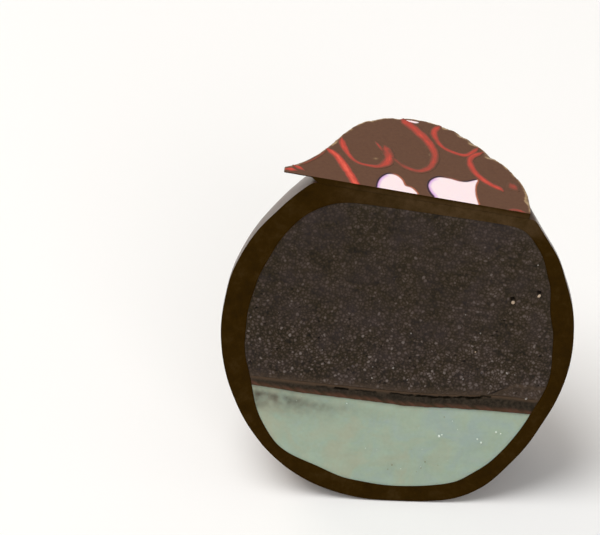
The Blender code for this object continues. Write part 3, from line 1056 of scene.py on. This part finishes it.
plaque = {
    "thickness": 0.45,
    "top": 11.2,
    "centre": (-0.95, 2.4),
    "radius": 9.9,
    "wear": 0.8, "wearAt": math.radians(48.0), "wearSpread": math.radians(21.0),
    "arcEnd": math.radians(112.5),
    "tailBendBack": (-7.4, 9.6), "tailBendFront": (-7.6, 4.6), "tailTip": (-10.97, 2.55),
    "rimStep": 0.09, "faceStep": 0.12,
    # how far the broken edge lies outside that, by degrees round the centre
    "reach": ((-10.0, -0.40), (12.0, -0.45), (26.0, -0.40), (38.0, -0.13), (60.0, 0.03),
              (75.0, 0.20), (92.0, 0.30), (103.0, 0.15), (112.5, -0.08), (150.0, 0.0),
              (350.0, -0.40)),
    "underStep": 0.6, "arcPoints": 200, "tailPoints": 80,
    "relief": ((0.012, 2.8, 2, 0.0), (0.004, 0.4, 2, 6.0)), "reliefFrom": 0.3,
    "freeFrom": 0.4,       # how far behind the cut the edge's own wear is in full
    "rough": (0.022, 0.9, 4, 0.0),
    "bevel": 0.09, "bevelChange": (0.07, 0.6, 3, 4.0), "bevelLimits": (0.03, 0.6),
    # how far the bevel goes down: at least this, and this share of its width, within limits
    "dropLeast": 0.03, "dropShare": 0.5, "dropMean": 0.6, "dropChange": (0.4, 0.4, 2, 9.0),
    "dropLimits": (0.02, 0.3),
    "tailThin": (-8.1, -8.9, 0.38),    # from where to where it thins, and by how much
    # the pale marks of the broken edge: how pale each ring of it is from the top down, the
    # lower rings darker as painted shade, how pale and how wide the line on the face is, and
    # how patchy these are
    "paleThenShaded": (0.85, 0.50, 0.02, 0.0, 0.0), "palePatches": (0.35, 0.8, 3, 11.0),
    "facePale": 0.85, "faceWidth": 0.06, "facePatches": (0.5, 0.8, 3, 11.0),
    # scratches on the face: place across, place back, and half sizes
    "nicks": ((0.32, 7.72, 0.16, 0.08), (-4.0, 5.85, 0.14, 0.10)), "nickPale": 0.8,
    # chips broken off the edge: place across, place back, how long and how deep
    "chips": ((-4.7, 11.2, 0.6, 0.34), (-2.5, 12.2, 0.6, 0.20), (1.3, 12.1, 0.9, 0.24),
              (2.6, 11.4, 1.0, 0.30), (3.6, 10.6, 1.1, 0.32), (5.2, 9.2, 1.0, 0.46),
              (6.5, 7.5, 0.7, 0.16), (8.3, 3.6, 1.2, 0.30), (-7.3, 7.2, 1.0, 0.16)),
    # its cut edge is dark with a paler lower part, from the tail towards the right
    "lid": 0.75, "lidDown": (0.30, 0.10), "lidAcross": (-8.4, -3.0),
}


def cutLine(height):
    # How far back the cut lies at a height up the praline
    return ((height * math.sin(praline["cutLean"]) - praline["cutForward"])
            / math.cos(praline["cutLean"]))


def plaqueOutline():
    # The broken edge from the right round the back to the tail's tip
    angles = np.linspace(0.0, plaque["arcEnd"], plaque["arcPoints"])
    worn = plaque["wear"] * np.exp(-((angles - plaque["wearAt"]) / plaque["wearSpread"]) ** 2)
    radius = plaque["radius"] - worn + roundTheCut(plaque["reach"], np.degrees(angles))
    arc = np.array(plaque["centre"]) + np.stack([np.cos(angles), np.sin(angles)], axis=1) * radius[:, None]
    t = np.linspace(0.0, 1.0, plaque["tailPoints"])[1:, None]
    bends = [np.array(plaque[key]) for key in ("tailBendBack", "tailBendFront", "tailTip")]
    tail = (arc[-1] * (1.0 - t) ** 3 + bends[0] * 3.0 * t * (1.0 - t) ** 2
            + bends[1] * 3.0 * t * t * (1.0 - t) + bends[2] * t ** 3)
    front = cutLine(plaque["top"])
    return np.concatenate([[(arc[0][0], front)], arc, tail, [(bends[2][0], front)]])


def makePlaque():
    make = plaque
    broken = evenly(plaqueOutline(), make["rimStep"])
    front = cutLine(make["top"])
    straight = evenly(np.array([broken[-1], broken[0]]), make["rimStep"])[1:-1]
    loop = np.concatenate([broken, straight])
    count = len(loop)
    cutEdge = np.abs(loop[:, 1] - front) < 1e-6
    outward = outwardOf(loop)
    solid = raised(loop)
    free = eased(loop[:, 1], front, front + make["freeFrom"])
    rough = layered(solid, [make["rough"]]) * free
    chipped = np.zeros(count)
    for x, y, wide, deep in make["chips"]:
        apart = np.hypot(loop[:, 0] - x, loop[:, 1] - y)
        chipped += deep * np.exp(-(apart / (0.5 * wide)) ** 2)
    bevel = (make["bevel"] + layered(solid, [make["bevelChange"]]) + chipped) * free
    bevel = np.clip(bevel, *make["bevelLimits"])
    drop = make["dropShare"] * bevel * (make["dropMean"] + layered(solid, [make["dropChange"]]))
    drop = np.clip(make["dropLeast"] + drop, *make["dropLimits"])
    top, bottom = make["top"], make["top"] - make["thickness"]

    def tailLift(x):
        # How much higher the underside lies here, where the tail is thinner
        thinFrom, thinTo, thin = make["tailThin"]
        return thin * eased(-x, -thinFrom, -thinTo)

    def ring(outset, height):
        # One closed ring round the plaque: moved outwards, and kept on the cut in front
        moved = loop + outward * (outset * free)[:, None]
        height = np.broadcast_to(height, count)
        back = np.where(cutEdge, cutLine(height), np.maximum(moved[:, 1], cutLine(height)))
        return np.column_stack([moved[:, 0], back, height])

    lift = tailLift(loop[:, 0])
    topRing = ring(rough - bevel, top)
    # from the top down: the bevel's middle and its foot, the broken side, and its lower edge
    rings = [ring(rough - 0.45 * bevel, top - 0.45 * drop), ring(rough - 0.02, top - drop),
             ring(rough * 0.6 + 0.02, 0.5 * (top + bottom + lift) - 0.03),
             ring(rough * 0.5, bottom + 0.05 + lift), ring(rough * 0.5 - 0.05, bottom + lift)]
    flat, faces = fineSheet([topRing[:, :2]], make["faceStep"])
    inward = distanceTo(flat, topRing[:, :2])
    points = raised(flat, top)
    points[:, 2] += layered(points, make["relief"]) * eased(inward, 0.0, make["reliefFrom"])
    broke = np.clip(1.0 - inward / make["faceWidth"], 0.0, 1.0)
    broke *= eased(flat[:, 1], front, front + make["freeFrom"])
    broke *= np.clip(make["facePale"] + layered(points, [make["facePatches"]]), 0.0, 1.0)
    for x, y, wide, high in make["nicks"]:
        nick = np.exp(-((flat[:, 0] - x) / wide) ** 2 - ((flat[:, 1] - y) / high) ** 2)
        broke = np.clip(broke + make["nickPale"] * nick, 0.0, 1.0)
    marks = [broke]
    patches = layered(solid, [make["palePatches"]])
    last = np.arange(count)
    topFaces = len(faces)
    for pale, each in zip(make["paleThenShaded"], rings):
        fresh = len(points) + np.arange(count)
        points = np.concatenate([points, each])
        faces = np.concatenate([faces, np.column_stack([last, fresh, np.roll(fresh, -1)]),
                                np.column_stack([last, np.roll(fresh, -1), np.roll(last, -1)])])
        marks.append(free * np.clip(pale + patches, 0.0, 1.0))
        last = fresh
    under, underFaces = fineSheet([rings[-1][:, :2]], make["underStep"])
    under = np.column_stack([under, bottom + tailLift(under[:, 0])])
    points, faces = sewSkin(points, faces, under, underFaces, len(points) - count, count)
    marks.append(np.zeros(len(points) - sum(len(each) for each in marks)))
    centres = points[faces].mean(1)
    onKnife = np.abs(centres[:, 1] - cutLine(centres[:, 2])) < 0.02
    looks = np.where(onKnife & (np.arange(len(faces)) >= topFaces), 1, 0)
    high, low = make["lidDown"]
    lid = make["lid"] * (1.0 - eased(points[:, 2], top - high, top - low))
    lid *= eased(points[:, 0], *make["lidAcross"])
    piece = addPiece("plaque_sheet", points, faces, [plaqueFace(), shellCut()], looks,
                     [(0, count)], {"broken": np.concatenate(marks), "lid": lid})
    handOver(piece, "plaque_chocolate", "plaque")
    print("plaque:", len(faces), "faces")


# The print on the plaque

stroke = {
    "step": 0.12, "film": 0.025, "sides": 16,
    # how much the paint spreads past the half widths, how uneven this is, and how far from
    # its ends a stroke narrows, down to what share
    "spread": 1.44, "uneven": (0.13, 0.7, 3, 0.0), "taper": 0.45, "taperLeast": 0.25,
    "coverLoss": 0.25, "coverChange": (0.10, 1.6, 2, 3.0), "startsApart": 10.0,
    # each stroke: its half widths and how thickly it covers, evenly spaced along it, and
    # the points that it runs through
    "paths": (
        ((0.22, 0.27, 0.30, 0.28), (0.50, 0.58, 0.60, 0.60),
         ((-7.97, 6.12), (-7.1, 5.33), (-6.28, 3.87), (-5.78, 2.87), (-5.34, 1.9), (-5.15, 1.3))),
        ((0.26, 0.24, 0.19, 0.15, 0.20, 0.33, 0.36, 0.30),
         (0.42, 0.42, 0.36, 0.28, 0.34, 0.38, 0.32, 0.18),
         ((-6.92, 8.0), (-6.86, 7.55), (-6.68, 6.9), (-6.1, 5.65), (-5.38, 4.88), (-4.5, 4.72),
          (-3.66, 4.87), (-3.08, 5.6), (-2.98, 6.4), (-3.2, 7.2), (-3.45, 7.95))),
        ((0.08, 0.14, 0.14), (0.18, 0.20, 0.12), ((-4.25, 8.3), (-3.9, 7.75), (-3.5, 7.0))),
        ((0.37, 0.39, 0.36, 0.32, 0.30, 0.27, 0.25, 0.22, 0.16),
         (0.42, 0.40, 0.40, 0.38, 0.32, 0.26, 0.20, 0.16, 0.08),
         ((-2.4, 12.2), (-1.40, 11.25), (-0.34, 9.97), (0.29, 8.84), (0.62, 7.65),
          (0.38, 6.05), (-0.52, 5.15), (-1.76, 5.48), (-2.78, 6.45))),
        ((0.23, 0.26, 0.20, 0.17, 0.18, 0.20, 0.17), (0.38, 0.40, 0.32, 0.28, 0.34, 0.38, 0.34),
         ((0.78, 12.2), (0.38, 11.35), (0.44, 10.5), (0.97, 9.38), (1.62, 8.82), (2.5, 8.52),
          (3.1, 8.57), (3.58, 9.15), (4.0, 9.95))),
        ((0.18, 0.23, 0.25, 0.24, 0.24, 0.21), (0.36, 0.36, 0.38, 0.42, 0.42, 0.36),
         ((4.42, 9.4), (3.60, 8.55), (3.42, 7.75), (3.78, 6.55), (4.44, 5.63), (5.22, 4.99),
          (5.97, 4.6), (6.28, 4.3))),
        ((0.20, 0.40, 0.24), (0.0, 0.26, 0.06), ((6.7, 5.85), (6.98, 5.25), (7.45, 4.65))),
        ((0.08, 0.16, 0.16, 0.08), (0.05, 0.22, 0.20, 0.0), ((6.6, 1.8), (7.2, 2.0), (7.7, 2.0), (8.3, 1.8))),
        ((0.18, 0.24, 0.14), (0.55, 0.50, 0.25), ((-10.92, 2.2), (-10.5, 2.32), (-9.95, 2.25))),
        ((0.10, 0.18, 0.12), (0.40, 0.45, 0.25), ((-10.4, 2.95), (-9.9, 2.76), (-9.38, 2.45))),
        ((0.08, 0.10, 0.09), (0.15, 0.10, 0.02), ((-9.80, 3.20), (-9.22, 3.80), (-8.45, 4.9), (-7.98, 5.8))),
    ),
}
hearts = {
    "film": 0.03, "step": 0.06, "outset": 0.16,
    # how the film rises from its rim, and how deep its sides and its underside are sunk
    "rise": (-0.02, 0.12), "sideSunk": 0.01, "sunk": 0.03,
    # the line is drawn this much wider along the front and back, as seen from above
    "wider": 0.6, "unlined": 1.0,
    # towards where the rim counts as the left and as the shaded side, and how sharply
    "left": ((-0.95, 0.3), (-0.25, 0.6)), "shade": ((-0.9, -0.4), (0.0, 0.7)),
    # each heart: whether a dark line runs round it, and its outline, which the knife cuts off
    "outlines": (
        (True, (-3.45, 1.2), (-3.60, 2.1), (-3.48, 3.1), (-3.10, 3.82), (-2.68, 4.10),
         (-2.19, 4.00), (-1.76, 3.52), (-1.54, 2.95), (-1.40, 2.78), (-0.98, 2.66),
         (-0.62, 2.30), (-0.42, 1.85), (-0.45, 1.2)),
        (True, (1.65, 1.2), (1.05, 1.75), (0.60, 2.4), (0.37, 3.2), (0.46, 4.02), (0.81, 4.58), (1.25, 4.83),
         (1.95, 4.86), (2.75, 4.72), (3.39, 4.84), (4.14, 5.30), (4.03, 4.3), (4.11, 3.2), (4.40, 1.95),
         (4.55, 1.3)),
        (False, (-2.1, 12.2), (-1.95, 12.02), (-1.5, 11.92), (-1.1, 12.0), (-0.95, 12.2), (-1.5, 12.27)),
    ),
}


def curveThrough(points, per=14, closed=False):
    # A smooth path through a few points
    corners = np.asarray(points, float)
    count = len(corners)
    path = []
    for index in range(count if closed else count - 1):
        picks = [index - 1, index, index + 1, index + 2]
        if closed:
            a, b, c, d = (corners[k % count] for k in picks)
        else:
            a, b, c, d = (corners[min(max(k, 0), count - 1)] for k in picks)
        for t in np.arange(per) / per:
            path.append(0.5 * (2.0 * b + (c - a) * t + (2.0 * a - 5.0 * b + 4.0 * c - d) * t * t
                               + (3.0 * b - a - 3.0 * c + d) * t ** 3))
    if not closed:
        path.append(corners[-1])
    return np.array(path)


def runTree(base, tree, settings):
    # Run the tree on an object with these inputs, and take the result as a plain mesh
    modifier = base.modifiers.new(tree.name, "NODES")
    modifier.node_group = tree
    for item in tree.interface.items_tree:
        if item.in_out == "INPUT" and item.name in settings:
            modifier[item.identifier] = settings[item.name]
    graph = bpy.context.evaluated_depsgraph_get()
    mesh = bpy.data.meshes.new_from_object(base.evaluated_get(graph), depsgraph=graph)
    bpy.data.objects.remove(base, do_unlink=True)
    return mesh


socketKinds = {"Geometry": "NodeSocketGeometry", "Material": "NodeSocketMaterial",
               "Sides": "NodeSocketInt", "Seed": "NodeSocketInt"}


def startTree(name, *inputs):
    # A node tree that takes a mesh and these inputs, and what its input node gives
    tree = bpy.data.node_groups.new(name, "GeometryNodeTree")
    for each in ("Geometry",) + inputs:
        kind = socketKinds.get(each, "NodeSocketFloat")
        tree.interface.new_socket(name=each, in_out="INPUT", socket_type=kind)
    tree.interface.new_socket(name="Geometry", in_out="OUTPUT", socket_type="NodeSocketGeometry")
    return tree, addNode(tree, "NodeGroupInput").outputs


def finishTree(tree, given, geometry):
    # Real faces in the given material, as the tree's result
    real = addNode(tree, "GeometryNodeRealizeInstances", None, {"Geometry": geometry})
    done = addNode(tree, "GeometryNodeSetMaterial", None, {
        "Geometry": real.outputs[0], "Material": given["Material"]})
    addNode(tree, "NodeGroupOutput", None, {"Geometry": done.outputs[0]})
    return tree


def keptMark(tree, name):
    # A value kept on the points, for a geometry tree
    kept = addNode(tree, "GeometryNodeInputNamedAttribute", {"data_type": "FLOAT"}, {"Name": name})
    return kept.outputs["Attribute"]


def placeParts(tree):
    place = addNode(tree, "GeometryNodeInputPosition")
    return addNode(tree, "ShaderNodeSeparateXYZ", None, {"Vector": place.outputs[0]}).outputs


def strokeTree():
    # A brush stroke: a flat ribbon along each path, as wide as the path's own marks say
    tree, given = startTree("brushStroke", "Film", "Sides", "Material")
    path = addNode(tree, "GeometryNodeMeshToCurve", None, {"Mesh": given["Geometry"]})
    flatWays = addNode(tree, "GeometryNodeSetCurveNormal", {"mode": "Z_UP"}, {"Curve": path.outputs[0]})
    section = addNode(tree, "GeometryNodeCurvePrimitiveCircle", None, {
        "Resolution": given["Sides"], "Radius": 1.0})
    marked = addNode(tree, "GeometryNodeStoreNamedAttribute", {"data_type": "FLOAT", "domain": "POINT"}, {
        "Geometry": section.outputs["Curve"], "Name": "aside", "Value": placeParts(tree)["X"]})
    width = keptMark(tree, "halfWidth")
    ribbon = addNode(tree, "GeometryNodeCurveToMesh", None, {
        "Curve": flatWays.outputs[0], "Profile Curve": marked.outputs[0], "Scale": width,
        "Fill Caps": True})
    parts = placeParts(tree)
    thin = mathOf(tree, "MULTIPLY", parts["Z"], mathOf(tree, "DIVIDE", given["Film"], width))
    pressed = addNode(tree, "ShaderNodeCombineXYZ", None, {"X": parts["X"], "Y": parts["Y"], "Z": thin})
    laid = addNode(tree, "GeometryNodeSetPosition", None, {
        "Geometry": ribbon.outputs["Mesh"], "Position": pressed.outputs[0]})
    return finishTree(tree, given, laid.outputs[0])


def trimAtCut(mesh):
    # Cut a mesh in the praline's frame with the knife's plane, and close it
    shape = bmesh.new()
    shape.from_mesh(mesh)
    everything = shape.verts[:] + shape.edges[:] + shape.faces[:]
    sliced = bmesh.ops.bisect_plane(shape, geom=everything, dist=1e-6, clear_outer=True,
                                    plane_co=Vector(cutFront * praline["cutForward"]),
                                    plane_no=Vector(cutFront))
    rim = [part for part in sliced["geom_cut"] if isinstance(part, bmesh.types.BMEdge)]
    if rim:
        bmesh.ops.holes_fill(shape, edges=rim, sides=0)
    bmesh.ops.recalc_face_normals(shape, faces=shape.faces)
    shape.to_mesh(mesh)
    shape.free()


def makeStrokes():
    # All red strokes as one thin film on the plaque
    marks = {"halfWidth": [], "cover": [], "travelled": []}
    points, edges = [], []
    for number, (halves, thick, corners) in enumerate(stroke["paths"]):
        path = evenly(curveThrough(corners), stroke["step"])
        solid = raised(path, number)
        share = np.linspace(0.0, 1.0, len(path))
        fromEnd = np.minimum(share, 1.0 - share) * len(path) * stroke["step"]
        taper = np.clip(fromEnd / stroke["taper"], stroke["taperLeast"], 1.0)
        half = np.interp(share, np.linspace(0.0, 1.0, len(halves)), halves)
        cover = np.interp(share, np.linspace(0.0, 1.0, len(thick)), thick)
        uneven = 1.0 + layered(solid, [stroke["uneven"]])
        start = len(points)
        points += [(x, y, 0.0) for x, y in path]
        edges += [(start + k, start + k + 1) for k in range(len(path) - 1)]
        marks["halfWidth"] += list(stroke["spread"] * half * taper ** 0.5 * uneven)
        marks["cover"] += list(cover + stroke["coverLoss"] * (taper - 1.0)
                               + layered(solid, [stroke["coverChange"]]))
        marks["travelled"] += list(np.arange(len(path)) * stroke["step"] + number * stroke["startsApart"])
    mesh = bpy.data.meshes.new("strokes")
    mesh.from_pydata(points, edges, [])
    storeMarks(mesh, marks)
    ribbons = runTree(newObject("strokes", mesh), strokeTree(), {
        "Film": stroke["film"], "Sides": stroke["sides"], "Material": redButter()})
    ribbons.transform(Matrix.Translation((0.0, 0.0, plaque["top"])))
    trimAtCut(ribbons)
    ribbons.transform(toWorld)
    ribbons.shade_smooth()
    handOver(newObject("print_red", ribbons), "plaque_chocolate")
    print("red strokes:", len(ribbons.polygons), "faces")


def keptBehind(loop, front):
    # The part of a closed outline behind the cut, closed along the cut
    kept = []
    for here, there in zip(loop, np.roll(loop, -1, axis=0)):
        if here[1] > front:
            kept.append(here)
        if (here[1] > front) != (there[1] > front):
            kept.append(here + (there - here) * (front - here[1]) / (there[1] - here[1]))
    return np.array(kept)


def makeHearts():
    # All hearts as one thin white film, each rounded over at its edge
    allPoints, allFaces = [], []
    marks = {"fromRim": [], "leftSide": [], "shaded": []}
    offset = 0
    top = plaque["top"]
    front = cutLine(top)
    for lined, *outline in hearts["outlines"]:
        loop = curveThrough(outline, closed=True)
        loop = loop + hearts["outset"] * lined * outwardOf(loop)
        loop = evenly(keptBehind(loop, front), hearts["step"], closed=True)
        count = len(loop)
        flat, faces = fineSheet([loop], hearts["step"])
        points = raised(flat, top)
        points[:, 2] += hearts["film"] * eased(distanceTo(flat, loop), *hearts["rise"])
        points[:count, 2] = top - hearts["sideSunk"]
        rim, low = np.arange(count), len(points) + np.arange(count)
        faces = np.concatenate([faces, faces + len(flat), np.column_stack([rim, low, np.roll(low, -1)]),
                                np.column_stack([rim, np.roll(low, -1), np.roll(rim, -1)])])
        allPoints += [points, raised(flat, top - hearts["sunk"])]
        allFaces.append(faces + offset)
        offset += 2 * len(flat)
        # marks by the nearest point of the printed rim, not of the cut one
        printed = loop[:, 1] > front + 0.001
        outward = outwardOf(loop)[printed]
        nearest, away = nearestOn(flat, loop[printed])
        away = away / (1.0 + hearts["wider"] * np.abs(outward[nearest, 1]))
        marks["fromRim"].append(np.tile(away + (0.0 if lined else hearts["unlined"]), 2))
        for mark, (towards, edges) in (("leftSide", hearts["left"]), ("shaded", hearts["shade"])):
            marks[mark].append(np.tile(eased(outward @ np.array(towards), *edges)[nearest], 2))
    piece = addPiece("print_hearts", np.concatenate(allPoints), np.concatenate(allFaces), [whiteButter()],
                     marks={mark: np.concatenate(values) for mark, values in marks.items()})
    handOver(piece, "plaque_chocolate")
    print("hearts:", offset, "points")


# Grains on the cut

grains = {
    # each kind: which face, how many for each square millimetre, half sizes, its seed and
    # material, and grains at set spots: place across, place up and half size
    # greyish grains standing out of the ganache, coloured paler than it as painted glints
    "fatGrainGlints": {"on": "ganache", "density": 0.6, "small": 0.02, "large": 0.05, "seed": 4,
                  "material": ("cocoaButterGlint", "#352d2a", "#544a48", 0.5), "slot": "ganache",
                  "spots": ((-1.0, 4.05, 0.06), (5.0, 1.05, 0.05), (7.2, -2.6, 0.09), (8.2, -2.7, 0.05),
                            (4.9, 0.9, 0.05), (-3.0, -3.9, 0.09))},
    # pale grains on the ganache whose light colour is a painted glint
    "paleCrystalGlints": {"on": "ganache", "density": 0.03, "small": 0.03, "large": 0.06, "seed": 21,
                     "material": ("sugarCrystalGlint", "#77716b", "#989189", 0.4), "slot": "ganache",
                     "spots": ((9.19, -2.27, 0.11), (0.21, -3.50, 0.11), (-1.3, -4.66, 0.08),
                               (5.85, -3.42, 0.08), (1.5, -4.3, 0.07), (6.5, 0.7, 0.06),
                               (-1.4, -3.7, 0.06), (1.1, -0.3, 0.06), (9.9, 7.2, 0.09),
                               (-5.6, -3.0, 0.05), (11.1, -4.2, 0.11), (7.2, -2.6, 0.07))},
    "nibs": {"on": "ganache", "density": 0.0, "small": 0.03, "large": 0.06, "seed": 5,
             "material": ("roastedCocoaNib", "#917a62", "#bda78f", 0.5), "slot": "ganache",
             "spots": ((8.56, 3.74, 0.19), (10.47, 4.66, 0.17), (6.4, -0.95, 0.07))},
    "sugarGrains": {"on": "mint", "density": 0.06, "small": 0.02, "large": 0.05, "seed": 7,
                    "material": ("sugarGrain", "#c0cbbd", "#e6ece2", 0.3), "slot": "mint_cream",
                    "spots": ((4.84, -8.65, 0.15), (5.04, -8.5, 0.08), (7.9, -8.35, 0.11),
                              (8.25, -8.6, 0.10), (9.26, -7.47, 0.13), (9.65, -7.55, 0.07),
                              (6.2, -7.8, 0.05), (-2.9, -7.2, 0.05))},
    "cocoaSpecks": {"on": "mint", "density": 0.05, "small": 0.02, "large": 0.05, "seed": 12,
                    "material": ("cocoaSpeck", "#6d6a4c", "#8c8a68", 0.5), "slot": "mint_cream",
                    "spots": ((1.57, -11.87, 0.07), (1.3, -12.3, 0.05), (4.14, -11.11, 0.08),
                              (3.9, -11.7, 0.05), (3.6, -12.1, 0.05), (5.2, -11.2, 0.05),
                              (-5.0, -7.9, 0.05))},
}
grain = {
    "smoothness": 2, "leastStretch": (0.6, 0.6, 0.5), "mostStretch": (1.3, 1.0, 0.9),
    "fullTurn": (6.28, 6.28, 6.28), "leastSpot": 0.001,
}


def randomOf(tree, seed, kind, low, high):
    # A random number or vector for each grain; the node has its own sockets for each kind
    first, output = (0, 0) if kind == "FLOAT_VECTOR" else (2, 1)
    made = addNode(tree, "FunctionNodeRandomValue", {"data_type": kind}, {
        first: low, first + 1: high, "Seed": seed})
    return made.outputs[output]


def grainsAt(tree, places, grainShape, turned, stretch, size, **chosen):
    # A grain at each place, turned and stretched, and as large as its size says
    scale = addNode(tree, "ShaderNodeVectorMath", {"operation": "SCALE"}, {0: stretch, "Scale": size})
    return addNode(tree, "GeometryNodeInstanceOnPoints", None, {
        "Points": places, "Instance": grainShape, "Rotation": turned,
        "Scale": scale.outputs["Vector"], **chosen}).outputs[0]


def grainTree():
    # Grains scattered on a face and at its set spots, sunk halfway into it
    tree, given = startTree("scatteredGrains", "Density", "Smallest", "Largest", "Seed", "Material")
    seed = given["Seed"]
    density = mathOf(tree, "MULTIPLY", given["Density"], keptMark(tree, "crowd"))
    scattered = addNode(tree, "GeometryNodeDistributePointsOnFaces", {"distribute_method": "RANDOM"}, {
        "Mesh": given["Geometry"], "Density": density, "Seed": seed}).outputs["Points"]
    shape = addNode(tree, "GeometryNodeMeshIcoSphere", None, {
        "Radius": 1.0, "Subdivisions": grain["smoothness"]}).outputs["Mesh"]
    size = randomOf(tree, seed, "FLOAT", given["Smallest"], given["Largest"])
    stretch = randomOf(tree, seed, "FLOAT_VECTOR", grain["leastStretch"], grain["mostStretch"])
    turn = randomOf(tree, seed, "FLOAT_VECTOR", (0.0, 0.0, 0.0), grain["fullTurn"])
    turned = addNode(tree, "FunctionNodeEulerToRotation", None, {"Euler": turn}).outputs["Rotation"]
    spot = keptMark(tree, "spot")
    chosen = addNode(tree, "FunctionNodeCompare", {"data_type": "FLOAT", "operation": "GREATER_THAN"}, {
        0: spot, 1: grain["leastSpot"]}).outputs[0]
    both = addNode(tree, "GeometryNodeJoinGeometry")
    for group in (grainsAt(tree, scattered, shape, turned, stretch, size),
                  grainsAt(tree, given["Geometry"], shape, turned, stretch, spot, Selection=chosen)):
        tree.links.new(group, both.inputs[0])
    return finishTree(tree, given, both.outputs[0])


def makeGrains(mintFace, ganacheFace):
    tree = grainTree()
    faces = {"mint": mintFace, "ganache": ganacheFace}
    for name, kind in grains.items():
        flat, depth, triangles = faces[kind["on"]]
        spots = np.array(kind["spots"])
        nearest = [np.hypot(*(flat - spot).T).argmin() for spot in spots[:, :2]]
        points = np.concatenate([onCut(flat, depth), onCut(spots[:, :2], depth[nearest])])
        crowd = ganacheCoarse(flat) if kind["on"] == "ganache" else np.ones(len(flat))
        mesh = bpy.data.meshes.new(name)
        mesh.from_pydata(points.tolist(), [], triangles.tolist())
        storeMarks(mesh, {"crowd": np.append(crowd, np.zeros(len(spots))),
                          "spot": np.append(np.zeros(len(flat)), spots[:, 2])})
        made = runTree(newObject(name, mesh), tree, {
            "Density": kind["density"], "Smallest": kind["small"], "Largest": kind["large"],
            "Seed": kind["seed"], "Material": speckMaterial(*kind["material"])})
        made.transform(toWorld)
        made.shade_smooth()
        handOver(newObject(name, made), kind["slot"])
        print(name + ":", len(made.polygons), "faces")


# The studio

studio = {
    "floorSize": 6.0,
    "paper": {"Base Color": linear("#f4f3f1"), "Roughness": 0.9, "Specular IOR Level": 0.1},
    "sky": 0.36,
    "lampsAim": (0.0, 0.0, 0.012),
    # each lamp: where it stands, how wide and how strong it is, and its colour
    "lamps": (
        ("overhead", (-0.25, -0.10, 0.75), 0.60, 4.3, "#ffffff"),
        ("frontFill", (0.30, -0.75, 0.45), 0.50, 1.8, "#ffffff"),
        ("backSheen", (-0.55, 0.60, 0.50), 0.60, 2.0, "#fff0e0"),
    ),
}
view = {
    "azimuth": math.radians(5.28), "elevation": math.radians(35.0),
    "distance": 260.0, "lens": 196.3, "sensor": 36.0,
    "aimRight": -7.81, "aimUp": 4.43,
    "nearest": 0.01, "farthest": 20.0,
}


def aimAt(thing, place, target):
    thing.location = place
    thing.rotation_mode = "QUATERNION"
    thing.rotation_quaternion = (Vector(target) - Vector(place)).to_track_quat("-Z", "Y")


def makeStudio():
    # A pale floor, a soft even sky and large soft lamps
    half = 0.5 * studio["floorSize"]
    mesh = bpy.data.meshes.new("pale_floor")
    mesh.from_pydata([(-half, -half, 0.0), (half, -half, 0.0), (half, half, 0.0), (-half, half, 0.0)],
                     [], [(0, 1, 2, 3)])
    mesh.materials.append(startMaterial("paleStudioPaper", studio["paper"])[0])
    floor = newObject("pale_floor", mesh)
    world = bpy.data.worlds.new("softSky")
    world.use_nodes = True
    sky = world.node_tree.nodes["Background"].inputs
    sky["Color"].default_value = (1.0, 1.0, 1.0, 1.0)
    sky["Strength"].default_value = studio["sky"]
    bpy.context.scene.world = world
    for name, place, wide, strength, colour in studio["lamps"]:
        lamp = bpy.data.lights.new(name, "AREA")
        lamp.shape = "DISK"
        lamp.size = wide
        lamp.energy = strength
        lamp.color = linear(colour)[:3]
        holder = newObject(name, lamp)
        aimAt(holder, place, studio["lampsAim"])
        holder.visible_camera = False


def makeCamera():
    # The photo's own angle: a long lens from in front and above
    azimuth, elevation = view["azimuth"], view["elevation"]
    out = Vector((math.sin(azimuth) * math.cos(elevation), -math.cos(azimuth) * math.cos(elevation),
                  math.sin(elevation)))
    right = Vector((math.cos(azimuth), math.sin(azimuth), 0.0))
    up = out.cross(right)
    aim = Vector((0.0, 0.0, praline["middleRise"])) + right * view["aimRight"] + up * view["aimUp"]
    lens = bpy.data.cameras.new("view")
    lens.lens = view["lens"]
    lens.sensor_width = view["sensor"]
    lens.sensor_fit = "HORIZONTAL"
    lens.clip_start = view["nearest"]
    lens.clip_end = view["farthest"]
    camera = newObject("view", lens)
    aimAt(camera, (aim + out * view["distance"]) * mm, aim * mm)
    bpy.context.scene.camera = camera


draw = np.random.default_rng(11)  # shakes the fine triangles, the same in every run
bpy.context.scene.view_settings.view_transform = "Standard"
makeCamera()
makeStudio()
print("studio ready")
makeShell()
mintFace, ganacheFace = makeFillings()
makePlaque()
makeStrokes()
makeHearts()
makeGrains(mintFace, ganacheFace)
